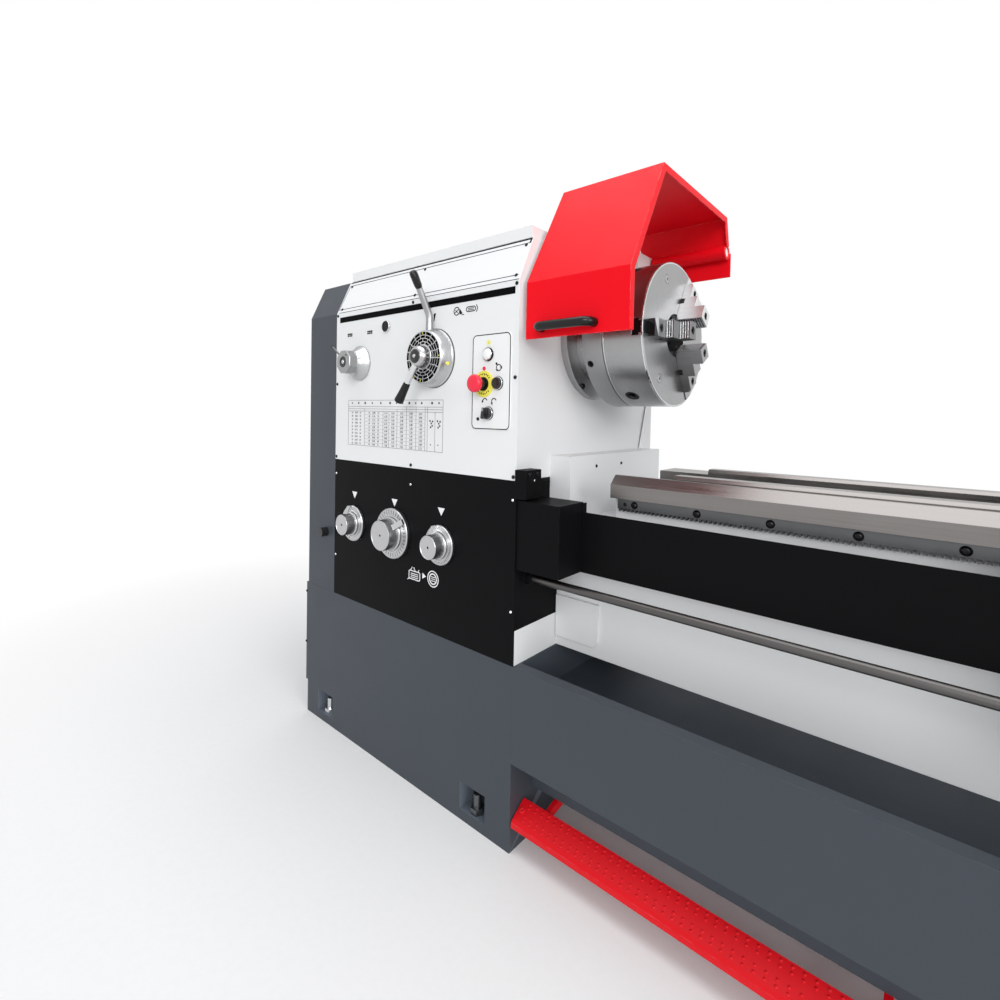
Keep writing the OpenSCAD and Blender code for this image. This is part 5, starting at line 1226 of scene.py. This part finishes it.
class LATHE_OT_panel_print(bpy.types.Operator):
    """Lines, chart, signs and pointers printed on the headstock and gearbox"""

    bl_idname = "lathe.panel_print"
    bl_label = "Printed marks"

    def execute(self, context):
        line = sizes().line
        shape = Shape(on_panel(0, 0), TO_FRONT)
        shape.slab(box_outline(18, 1241, 708, 1257), PRINT_LOW, PRINT_FULL, "print")
        # Pointer beside the bent lever
        shape.slab([(441, 1206), (443.4, 1206), (449.5, 1226), (441.5, 1224)], PRINT_LOW, PRINT_FULL, "print")
        # Chart of feeds and pitches: frame, columns, rows and plain figures
        left, right, low, high = CHART
        for z in (low, high, 991, 984.5, 978):
            straight(shape, (left, z), (right, z), 0.75, "print_grey")
        for x, top in ((left, high), (right, high), (150, 984.5), (237, 978), (264, 978), (299, 984.5),
                       (339, 991),
                       (378, 991), (414, 991), (423, 991), (452, 978)):
            straight(shape, (x, low), (x, top), 0.6, "print_grey")
        rows = 10
        pitch = (FIGURES_TOP - low) / rows
        for k in range(1, rows):
            straight(shape, (150, low + pitch * k), (414, low + pitch * k), 0.35, "print_grey")
        base = (0.04, 0.05, 0.06, 0.08, 0.10, 0.12, 0.16, 0.20, 0.24, 0.32)
        columns = ((109, 1), (194, 2), (250, 4), (281, 5), (319, 8), (358, 10), (396, 16))
        for x, factor in columns:
            body = chr(10).join(f"{value * factor:.2f}"[:4] for value in base)
            shape.words(body, 7.8, (x, (FIGURES_TOP + low) / 2), "print_grey", base=PRINT_LOW, line=pitch / 7.8)
        for x in (89, 129, 173, 215):
            body = chr(10).join(str(24 + (x * k) % 53) for k in range(rows))
            shape.words(body, 7.2, (x, (FIGURES_TOP + low) / 2), "print_grey", base=PRINT_LOW, line=pitch / 7.2)
        for k, x in enumerate((88, 120, 152, 186, 226, 268, 296, 322, 350, 376, 400, 440, 466)):
            shape.slab(disc(x, 1001, 2.6 + (k % 3) * 0.5, 10), PRINT_LOW, PRINT_THIN, "print_grey")
        for x in (438, 466):
            for dx, dz in ((-7, 8), (0, 2), (5, -4), (-3, -8), (7, 7)):
                shape.slab(disc(x + dx * 0.7, 948 + dz, 2.6, 10), PRINT_LOW, PRINT_THIN, "print_grey")
            shape.slab(disc(x - 2, 896, 1.8, 10), PRINT_LOW, PRINT_THIN, "print_grey")
        # Small signs over the range knob: two rows of blocks
        for x in (71, 170):
            for dx in (-8.6, 0, 8.6):
                for z, half, tall in ((1198.4, 3.2, 4.0), (1203.6, 3.6, 4.6)):
                    shape.slab(box_outline(x + dx - half, z - tall / 2, x + dx + half, z + tall / 2), 0.02,
                               0.4,
                               "print")
        # Signs right of the drum: a ring with a bar, and a slot
        frame_line(shape, disc(524, 1222, 10.5, 28), 2.1, PRINT_LOW, PRINT_FULL, "print")
        straight(shape, (517, 1218), (531, 1226), 1.8, "print")
        straight(shape, (519, 1225), (528, 1217), 1.4, "print")
        shape.slab([(536, 1226), (544, 1215), (534, 1213)], PRINT_LOW, PRINT_THIN, "print")
        straight(shape, (541, 1212), (549, 1212), 1.8, "print")
        frame_line(shape, box_outline(556, 1216, 588, 1229, 6, 5), 2.1, PRINT_LOW, PRINT_FULL, "print")
        straight(shape, (562, 1224.2), (582, 1224.2), 1.6, "print")
        straight(shape, (562, 1220.6), (582, 1220.6), 1.6, "print")
        straight(shape, (590, 1231), (594, 1222.5), 2.0, "print")
        straight(shape, (594, 1222.5), (590, 1214), 2.0, "print")
        shape.done("panel_marks", "frame", smooth=30)

        # Marks of the black gearbox: pointers over the knobs and a sign below
        shape = Shape(on_panel(0, 0), TO_FRONT)
        for x in (105.5, 293.5, 480.5):
            shape.slab([(x - 12.5, 741.5), (x, 722), (x + 12.5, 741.5)], PRINT_LOW, PRINT_THICK, "print_white")
        frame_line(shape, box_outline(358, 540, 404, 564, 5, 4), 2.4, PRINT_LOW, PRINT_FULL, "print_white")
        for a, b in (((366, 564), (372, 573)), ((384, 564), (378, 573)), ((396, 564), (399, 570)),
                     ((354, 537), (361, 543)), ((366, 551), (396, 551)), ((366, 556), (396, 556)),
                     ((366, 546), (396, 546))):
            straight(shape, a, b, 2.0, "print_white")
        shape.slab([(413, 551), (427, 558.5), (413, 566)], PRINT_LOW, PRINT_FULL, "print_white")
        frame_line(shape, disc(453.5, 558, 21, 40), 2.6, PRINT_LOW, PRINT_FULL, "print_white")
        frame_line(shape, disc(453.5, 558, 14.6, 32), 3.4, PRINT_LOW, PRINT_FULL, "print_white")
        for z in (553, 558, 563):
            straight(shape, (446, z), (461, z), 1.8, "print_white")
        shape.done("gearbox_marks", "frame", smooth=30)

        # Joints of the leaning fascia: its label plate, top edge and bend
        run = Vector((0, LEAN, HEAD_Z - BEND_Z))
        long = run.length * 1000
        up = run.normalized()
        out = Vector((1, 0, 0)).cross(up)
        facing = Matrix((Vector((1, 0, 0)), up, out)).transposed()
        shape = Shape(Vector((LEFT, FRONT_Y, BEND_Z)), facing)
        shape.slab(thick_line((6, long - 3), (PANEL_W - 2, long - 3), line * 2.1), 0.0, 0.35, "print")
        for a, b in (((8.6, 99), (717, 99)), ((3.6, 13.6), (711, 13.6)), ((3.6, 13.6), (8.6, 99)),
                     ((11, 1.6), (717, 1.6))):
            straight(shape, a, b, line, "print", 0.0, 0.35)
        shape.slab([(717, 99), (717, 109), (712.6, 109), (712.6, 99)], 0.0, 0.35, "print")
        shape.done("fascia_joints", "frame", smooth=30)
        return {"FINISHED"}


class LATHE_OT_sight_glass(bpy.types.Operator):
    """Oil sight glass in its bright ring"""

    bl_idname = "lathe.sight_glass"
    bl_label = "Oil sight glass"

    def execute(self, context):
        shape = Shape(plate_centre("oil_sight_glass"), TO_FRONT)
        shape.turned([(0.1, 15.4), (1.0, 16.2), (5.8, 15.9), (6.5, 15.4), (6.5, 14.4), (1.0, 14.2)],
                     "polished", steps=48)
        shape.turned([(6.0, 15.0), (7.0, 14.6), (7.0, 12.4), (5.4, 11.8), (3.0, 11.6)], "oxide", steps=48)
        shape.turned([(2.4, 11.8), (4.6, 11.6), (4.6, 10.4), (5.0, 6), (5.1, 1)], "plastic", steps=40)
        frame_line(shape, disc(0, 0, 8.4, 28), 1.2, 4.6, 5.3, "print_grey")
        # White triangle on the glass: a painted highlight
        shape.slab([(-4.6, 2.2), (3.8, 4.4), (0.6, -4.6)], 4.8, 5.5, "print_white")
        piece = shape.done("oil_glass", "frame", smooth=34)
        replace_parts(piece, "oil_sight_glass")
        return {"FINISHED"}


def socket(shape, top, radius, sides, reach, depth, name, at=(0, 0), steps=24):
    """A round head whose face has a recess with flat sides, for a key."""
    rings = [level(disc(*at, r, steps), height)
             for height, r in ((top - depth - 3, radius), (top - 0.7, radius), (top, radius - 0.7))]
    recess = flat_sided(*at, reach, sides, steps)
    shape.add_faces(rings + [level(recess, top), level(recess, top - depth)], name)


def about_spindle(angle, radial="X"):
    """Facing for work on the chuck: the radial way is local X or local Z, the other is +X."""
    a = math.radians(angle)
    out = Vector((0, math.cos(a), math.sin(a)))
    along = Vector((1, 0, 0))
    if radial == "X":
        return Matrix((out, along.cross(out), along)).transposed()
    return Matrix((along, out.cross(along), out)).transposed()


JAWS = (("front_jaw", 180), ("lower_jaw", 300), ("upper_jaw", 60))


def rib_outline(r, proud):
    """Outline across a jaw's step, standing proud of it outwards or inwards."""
    low, high = sorted((r - math.copysign(0.6, proud), r + proud))
    return box_outline(low, -18.4, high, 18.4)


class LATHE_OT_chuck(bpy.types.Operator):
    """Serrations and screws of the jaws, key sockets and locks of the chuck"""

    bl_idname = "lathe.chuck"
    bl_label = "Chuck details"

    def execute(self, context):
        face = Vector((CHUCK[1].x, 0, SPINDLE_Z))
        outer = (CHUCK[1].z - CHUCK[0].z) * 500
        for body, angle in JAWS:
            shape = Shape(face, about_spindle(angle))
            socket(shape, 19.6, 8.5, 6, 5.0, 6, "oxide", at=(120, 0))
            socket(shape, 60.4, 8.5, 6, 5.0, 6, "oxide", at=(49, 0))
            for r, low, count, pitch, proud in ((97, 22.4, 3, 5.4, 1), (66, 39.8, 4, 5.4, 1),
                                                (32, 4.0, 10, 5.4, -1)):
                high = low + count * pitch - 0.6
                shape.slab(rib_outline(r, 0.35 * proud), low - 0.6, high, "oxide")
                rib = template_shape()
                rib.slab(rib_outline(r, 1.4 * proud), low, low + 2.6, "bright")
                repeated(shape, template(rib, "jaw rib"), "bright", Count=count, Step_Angle=0.0,
                         Step=(0, 0, pitch))
            # Dark ends of the cross key in the jaw's flanks: near-black slabs as painted shade
            shape.slab(box_outline(81, -19.25, 94, 19.25), 0.4, 8.4, "cavity_painted_shade")
            shape.done(f"{body}_details", body)
        spin = "spindle_and_chuck"
        shape = Shape(face, TO_RIGHT)
        for angle in (113, 233, 353):
            spot = around(ORIGIN, 132, angle)
            shape.turned([(-4, 10.8), (0.15, 10.8), (0.15, 9.4)], "dark_steel", at=spot, steps=32)
            shape.turned([(-4, 9.4), (0.3, 9.3), (0.5, 8.8)], "iron", at=spot, steps=32)
            shape.turned([(0.2, 4.2), (0.6, 4.1)], "dark_steel", at=spot, steps=6)
        # Bright arris round the face, and the joint with the back plate: polished bands on turned chamfers,
        # their light steel partly a painted highlight
        shape.hoop([(-4.0, outer - 1), (-4.0, outer + 0.12), (-1.4, outer + 0.12), (0.12, outer - 1.2),
                    (0.12, outer - 3.2), (-1, outer - 3.2)], "polished")
        depth = (CHUCK[1].x - CHUCK[0].x) * 1000
        shape.hoop([(-depth + 0.4, outer - 1), (-depth + 0.4, outer + 0.12), (-depth + 2.0, outer + 0.12),
                    (-depth + 2.0, outer - 1)], "polished")
        shape.done("chuck_face_screws", spin)
        middle = (CHUCK[0].x + 0.034)
        for k, angle in enumerate((240, 0, 120)):
            shape = Shape(Vector((middle, 0, SPINDLE_Z)), about_spindle(angle, "Z"))
            socket(shape, outer - 4.0, 11.9, 4, 8.6, 8, "oxide")
            collar = ((11.6, outer - 1), (11.8, outer + 0.2), (16.4, outer + 0.2), (17, outer - 0.4),
                      (11.6, outer - 1))
            shape.add_faces([[(x, y, math.sqrt(height * height - y * y)) for x, y in disc(*ORIGIN, r, 40)]
                             for r, height in collar], "oxide", caps=False)
            shape.done(f"key_socket_{k}", spin)
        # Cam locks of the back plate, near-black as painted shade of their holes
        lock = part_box("chuck_backplate")[0].x + 0.014
        for k in range(6):
            shape = Shape(Vector((lock, 0, SPINDLE_Z)), about_spindle(26 + 60 * k, "Z"))
            socket(shape, outer - 3.0, 7.9, 4, 5.6, 8, "cavity_painted_shade")
            shape.done(f"cam_lock_{k}", spin)
        return {"FINISHED"}


class LATHE_OT_guard(bpy.types.Operator):
    """Bow handle of the chuck guard"""

    bl_idname = "lathe.guard"
    bl_label = "Guard handle"

    def execute(self, context):
        low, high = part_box("guard_handle")
        r = (high.z - low.z) * 500
        half = (high.x - low.x) * 500 - r
        out = (high.y - low.y) * 1000 - r
        shape = Shape(Vector(((low.x + high.x) / 2, high.y, (low.z + high.z) / 2)), TO_FRONT)
        bend = 16
        points = [(-half, 0, 0.2), (-half, 0, out - bend)]
        for k in range(1, 8):
            a = math.radians(90 * k / 8)
            points.append((-half + bend * (1 - math.cos(a)), 0, out - bend * (1 - math.sin(a))))
        points.append((-half + bend, 0, out))
        points += [(-x, y, z) for x, y, z in reversed(points)]
        shape.bar(points, [r * 0.97] * len(points), "grip", steps=28)
        piece = shape.done("guard_bow", "chuck_guard", smooth=50)
        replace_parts(piece, "guard_handle")
        return {"FINISHED"}


class LATHE_OT_brake(bpy.types.Operator):
    """Grip studs and end screws of the foot brake's tread"""

    bl_idname = "lathe.brake"
    bl_label = "Foot brake tread"

    def execute(self, context):
        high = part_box("brake_pedal")[1]
        start = RIGHT + 0.003
        up = Vector((0, 39, 26)).normalized()
        facing = Matrix((Vector((1, 0, 0)), up, Vector((1, 0, 0)).cross(up))).transposed()
        shape = Shape(Vector((start, FRONT_Y + 0.007, 0.078)), facing)
        count = sizes().stud_rows
        step = ((high.x - start) * 1000 - 50) / count
        for y in (5.5, 14.5, 32.5, 41):
            stud = template_shape()
            stud.turned([(-0.6, 2.7), (0.35, 2.5), (1.15, 1.7), (1.45, 0.5)], "tread", at=(24, y), steps=10)
            repeated(shape, template(stud, "stud"), "tread", Count=count, Step_Angle=0.0, Step=(step, 0, 0))
        shape.done("brake_studs", "brake_pedal", smooth=60)
        shape = Shape(Vector((start, FRONT_Y + 0.007, 0.078)), facing)
        socket(shape, 3.2, 6.2, 6, 3.2, 2.4, "tread", at=(12, 23))
        socket(shape, 3.2, 6.2, 6, 3.2, 2.4, "tread", at=((high.x - start) * 1000 - 24, 23))
        shape.done("brake_screws", "brake_pedal")
        return {"FINISHED"}


class LATHE_OT_leadscrew(bpy.types.Operator):
    """Leadscrew with its thread and plain ends"""

    bl_idname = "lathe.leadscrew"
    bl_label = "Leadscrew thread"

    def execute(self, context):
        low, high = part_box("leadscrew")
        r = (high.z - low.z) * 500
        pitch = sizes().thread_pitch
        length = (high.x - low.x) * 1000
        start, stop = 150.0, length - 120.0
        turns = int((stop - start) / pitch)
        shape = Shape(Vector((low.x, (low.y + high.y) / 2, (low.z + high.z) / 2)), TO_RIGHT)
        shape.turned([(0, r - 1.5), (1.5, r), (start - 1, r), (start, r - 2.7), (start + 1, r - 2.7)],
                     "shaft")
        end = start + turns * pitch
        shape.turned([(end - 1, r - 2.7), (end, r - 2.7), (end + 1, r), (length - 1.5, r), (length, r - 1.5)],
                     "shaft")
        mesh = grown("thread", None, Core_Radius=r - 2.6, Crest_Radius=r - 0.05, Pitch=float(pitch),
                     Turns=turns,
                     Material=FINISH["shaft"])
        mesh.transform(shape.move @ Matrix.Translation((0, 0, start)))
        shape.join(mesh, "shaft")
        piece = shape.done("leadscrew_thread", "leadscrew")
        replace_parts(piece, "leadscrew")
        return {"FINISHED"}


class LATHE_OT_conduit(bpy.types.Operator):
    """Small fittings of the headstock's right side and of the guard switch"""

    bl_idname = "lathe.conduit"
    bl_label = "Side fittings"

    def execute(self, context):
        # Oil pipe down the headstock's right side
        shape = Shape(Vector((RIGHT, 0, 0)), TO_TOP)
        pipe = [(3.2, 258, 866), (3.2, 262, 877), (3.2, 303, 1010), (3.2, 314, 1060), (3.2, 318, 1120),
                (3.2, 318, 1290)]
        shape.bar(pipe, [2.9] * len(pipe), "iron", steps=16)
        for low, high in ((2, 3), (3, 4), (4, 5)):
            a, b = Vector(pipe[low]), Vector(pipe[high])
            middle = (a + b) / 2
            along = (b - a).normalized() * 5
            shape.bar([tuple(middle - along), tuple(middle - along * 0.8), tuple(middle + along * 0.8),
                       tuple(middle + along)], [3.1, 4.2, 4.2, 3.1], "bright", steps=18)
        shape.done("oil_pipe", "frame", smooth=45)
        low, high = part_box("guard_switch")
        shape = Shape(Vector((high.x, low.y, low.z)), TO_RIGHT)
        # Near-black triangles beside the switch's two screws, painted shade of their recesses
        for y in (14, 42):
            shape.slab([(y - 6, 57), (y + 6, 57), (y, 48)], 0.1, 0.6, "cavity_painted_shade")
            socket(shape, 1.4, 3.4, 6, 1.8, 1.0, "oxide", at=(y, 54), steps=16)
        shape.turned([(0.1, 2.6), (3.4, 2.5), (4.2, 1.8)], "polished", at=(28, 40), steps=20)
        shape.done("switch_marks", "frame")
        return {"FINISHED"}


# Lower edge of the saddle's wipers, in mm from the floor
WIPER_Z = 849
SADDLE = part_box("saddle")
TOP_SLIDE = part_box("top_slide")
WHEEL_X = centre("carriage_handwheel").x
# Graduated collars of the feed screws: place, facing, radius and depth in mm
COLLARS = {
    "cross_slide_handle": (((SADDLE[0].x + SADDLE[1].x) / 2, SADDLE[0].y - 0.001, SADDLE[1].z - 0.030),
                           TO_FRONT, 32.5, 16),
    "top_slide_handle": ((TOP_SLIDE[1].x + 0.001, centre("top_slide").y, TOP_SLIDE[0].z + 0.046),
                         TO_RIGHT, 26.5, 13),
    "carriage_handwheel": ((WHEEL_X, SADDLE[0].y - 0.001, centre("carriage_handwheel").z), TO_FRONT, 36, 12),
}


class LATHE_OT_carriage(bpy.types.Operator):
    """Dials, wipers and grips of the carriage, slides and tailstock"""

    bl_idname = "lathe.carriage"
    bl_label = "Carriage and tailstock"

    def execute(self, context):
        low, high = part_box("apron")
        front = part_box("saddle")[0].y
        paint_node("apron", ["panel", "polished", "plastic"],
                   lambda m,
                   n: 0 if m.y > front - 0.001 else (2 if m.z < low.z + 0.078 and m.y < front - 0.016
                                                                or m.z < low.z + 0.036 else 1))
        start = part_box("start_lever")
        paint_node("start_lever", ["polished", "plastic"], lambda m, n: 1 if m.z > start[1].z - 0.096 else 0)
        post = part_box("tool_post")
        paint_node("tool_post", ["dark_steel", "polished", "plastic"],
                   lambda m, n: 2 if m.z > post[1].z - 0.037 and m.x > post[1].x - 0.052 else
                   (1 if m.x > post[0].x + 0.121 else 0))
        paint_node("tailstock", ["panel", "polished"],
                   lambda m, n: 1 if m.z > SPINDLE_Z + 0.086 or m.y < -0.150 else 0)
        # Graduated collars on the feed screws
        for node, (place, facing, radius, depth) in COLLARS.items():
            shape = Shape(Vector(place), facing)
            shape.turned([(0.6, radius - 0.6), (1.2, radius), (depth - 1.2, radius), (depth, radius - 1.2),
                          (depth, radius * 0.6)], "bright", steps=72)
            mark = template_shape()
            mark.slab(box_outline(radius - 0.2, -0.28, radius + 0.25, 0.28), 1.4, depth * 0.62, "print")
            repeated(shape, template(mark, "dial line"), "print", Count=50, Step_Angle=math.tau / 50)
            shape.done(f"{node}_collar", node)
        # Wipers on the saddle's ends
        low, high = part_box("saddle")
        for k, (x, side) in enumerate(((low.x, -1), (high.x, 1))):
            shape = Shape(Vector((x, 0, 0)), TO_RIGHT)
            for a, b in ((-176, -122), (122, 176)):
                shape.slab(box_outline(a, WIPER_Z, b, WIPER_Z + 26, 3), *sorted((side * 0.1, side * 5.0)),
                           "rubber")
                shape.slab(box_outline(a + 6, WIPER_Z + 8, b - 6, WIPER_Z + 22, 3),
                           *sorted((side * 4.6, side * 6.6)), "bright")
            shape.done(f"way_wiper_{k}", "carriage")
        return {"FINISHED"}


class LATHE_OT_stage(bpy.types.Operator):
    """Pale floor, white surroundings, soft lamps and the camera"""

    bl_idname = "lathe.stage"
    bl_label = "Stage"

    def execute(self, context):
        mesh = bpy.data.meshes.new("floor")
        mesh.from_pydata([(-9, -9, 0), (9, -9, 0), (9, 9, 0), (-9, 9, 0)], [], [(0, 1, 2, 3)])
        floor = bpy.data.objects.new("floor", mesh)
        context.scene.collection.objects.link(floor)
        mesh.materials.append(floor_finish())
        make_world(context.scene)
        for name, place, aim, size, power in LAMPS:
            lamp = bpy.data.lights.new(name, "AREA")
            lamp.shape = "RECTANGLE"
            lamp.size, lamp.size_y = size
            lamp.energy = power
            holder = bpy.data.objects.new(name, lamp)
            holder.location = place
            holder.rotation_euler = (Vector(aim) - Vector(place)).to_track_quat("-Z", "Y").to_euler()
            context.scene.collection.objects.link(holder)
        camera = bpy.data.cameras.new("camera")
        camera.lens, camera.sensor_width = CAMERA_LENS
        camera.shift_x, camera.shift_y = CAMERA_SHIFT
        camera.clip_start = 0.02
        yaw, pitch, roll = (math.radians(a) for a in CAMERA_TURN)
        forward = Vector((-math.sin(yaw) * math.cos(pitch), math.cos(yaw) * math.cos(pitch), math.sin(pitch)))
        side = Vector((math.cos(yaw), math.sin(yaw), 0))
        up = side.cross(forward)
        right = side * math.cos(roll) + up * math.sin(roll)
        top = up * math.cos(roll) - side * math.sin(roll)
        stand = bpy.data.objects.new("camera", camera)
        turn = Matrix((right, top, -forward)).transposed().to_4x4()
        stand.matrix_world = Matrix.Translation(CAMERA_PLACE) @ turn
        context.scene.collection.objects.link(stand)
        context.scene.camera = stand
        context.scene.view_settings.view_transform = "Standard"
        return {"FINISHED"}


# Camera: place in metres, yaw, pitch and roll in degrees, lens and sensor in mm, and shift
CAMERA_PLACE = (0.1966, -1.1928, 0.9768)
CAMERA_TURN = (39.6, -1.31, 1.11)
CAMERA_LENS = (19.08, 36)
CAMERA_SHIFT = (-0.0199, -0.0734)
# Soft lamps: name, place, aim, size and power
LAMPS = (
    ("key lamp", (7.8, -12.0, 6.3), (-0.6, 0.0, 0.9), (8.0, 6.8), 1150),
    ("side lamp", (15.6, -3.6, 4.7), (-0.4, 0.0, 0.9), (8.0, 8.0), 900),
    ("top lamp", (-0.3, -0.4, 4.2), (-0.3, 0.0, 0.9), (4.0, 3.0), 80),
)
# Distances from the machine's middle, in metres, between which the floor fades to white
FADE = (1.15, 2.1)


def floor_finish():
    """Pale floor that keeps the shadow near the machine and fades to white further off."""
    material = bpy.data.materials.new("pale floor")
    material.use_nodes = True
    tree = material.node_tree
    tree.nodes.clear()
    w = Wires(tree)
    where = w.add("ShaderNodeTexCoord").outputs["Object"]
    grain = w.noise(where, 60.0, 3.0)
    shade = w.span(grain, 0.3, 0.7, 0.94, 0.96)
    colour = w.add("ShaderNodeCombineColor", {0: shade, 1: shade, 2: shade}).outputs[0]
    lit = w.add("ShaderNodeBsdfPrincipled", {"Base Color": colour, "Roughness": 0.85})
    white = w.add("ShaderNodeEmission", {"Color": (1, 1, 1, 1), "Strength": 1.0})
    away = w.add("ShaderNodeVectorMath", {0: where, 1: (0.62, 1.0, 0.0)}, operation="MULTIPLY").outputs[0]
    away = w.add("ShaderNodeVectorMath", {0: away}, operation="LENGTH").outputs["Value"]
    far = w.span(away, FADE[0], FADE[1], 0.0, 1.0)
    seen = w.seen()
    mix = w.add("ShaderNodeMixShader",
                {0: w.math("MULTIPLY", far, seen), 1: lit.outputs[0], 2: white.outputs[0]})
    out = w.add("ShaderNodeOutputMaterial")
    w.put(out.inputs[0], mix.outputs[0])
    return material


def make_world(scene):
    """White behind the machine and in its reflections, and a plain soft fill elsewhere."""
    world = bpy.data.worlds.new("surroundings")
    scene.world = world
    world.use_nodes = True
    tree = world.node_tree
    tree.nodes.clear()
    w = Wires(tree)
    seen = w.seen()
    fill = w.add("ShaderNodeBackground", {"Color": (0.95, 0.97, 1.0, 1), "Strength": 0.42})
    white = w.add("ShaderNodeBackground", {"Color": (1, 1, 1, 1), "Strength": 1.0})
    mix = w.add("ShaderNodeMixShader", {0: seen, 1: fill.outputs[0], 2: white.outputs[0]})
    out = w.add("ShaderNodeOutputWorld")
    w.put(out.inputs[0], mix.outputs[0])


OPERATORS = (
    LATHE_OT_finishes, LATHE_OT_screws, LATHE_OT_feed_knobs, LATHE_OT_speed_drum, LATHE_OT_range_knob,
    LATHE_OT_controls, LATHE_OT_panel_print, LATHE_OT_sight_glass, LATHE_OT_chuck, LATHE_OT_guard,
    LATHE_OT_brake, LATHE_OT_leadscrew, LATHE_OT_conduit, LATHE_OT_carriage, LATHE_OT_stage,
)


class LATHE_PT_dressing(bpy.types.Panel):
    """Lists the lathe's settings and pieces"""

    bl_idname = "LATHE_PT_dressing"
    bl_label = "Lathe"
    bl_space_type = "VIEW_3D"
    bl_region_type = "UI"
    bl_category = "Lathe"

    def draw(self, context):
        column = self.layout.column(align=True)
        for group in (context.scene.lathe_colours, context.scene.lathe_sizes):
            for key in group.__annotations__:
                column.prop(group, key)
        for operator in OPERATORS:
            column.operator(operator.bl_idname)


CLASSES = (LatheColours, LatheSizes) + OPERATORS + (LATHE_PT_dressing,)


def register():
    for cls in CLASSES:
        bpy.utils.register_class(cls)
    bpy.types.Scene.lathe_colours = PointerProperty(type=LatheColours)
    bpy.types.Scene.lathe_sizes = PointerProperty(type=LatheSizes)


def unregister():
    del bpy.types.Scene.lathe_sizes
    del bpy.types.Scene.lathe_colours
    for cls in reversed(CLASSES):
        bpy.utils.unregister_class(cls)


def main():
    register()
    for operator in OPERATORS:
        group, name = operator.bl_idname.split(".")
        getattr(getattr(bpy.ops, group), name)()


if __name__ == "__main__":
    main()
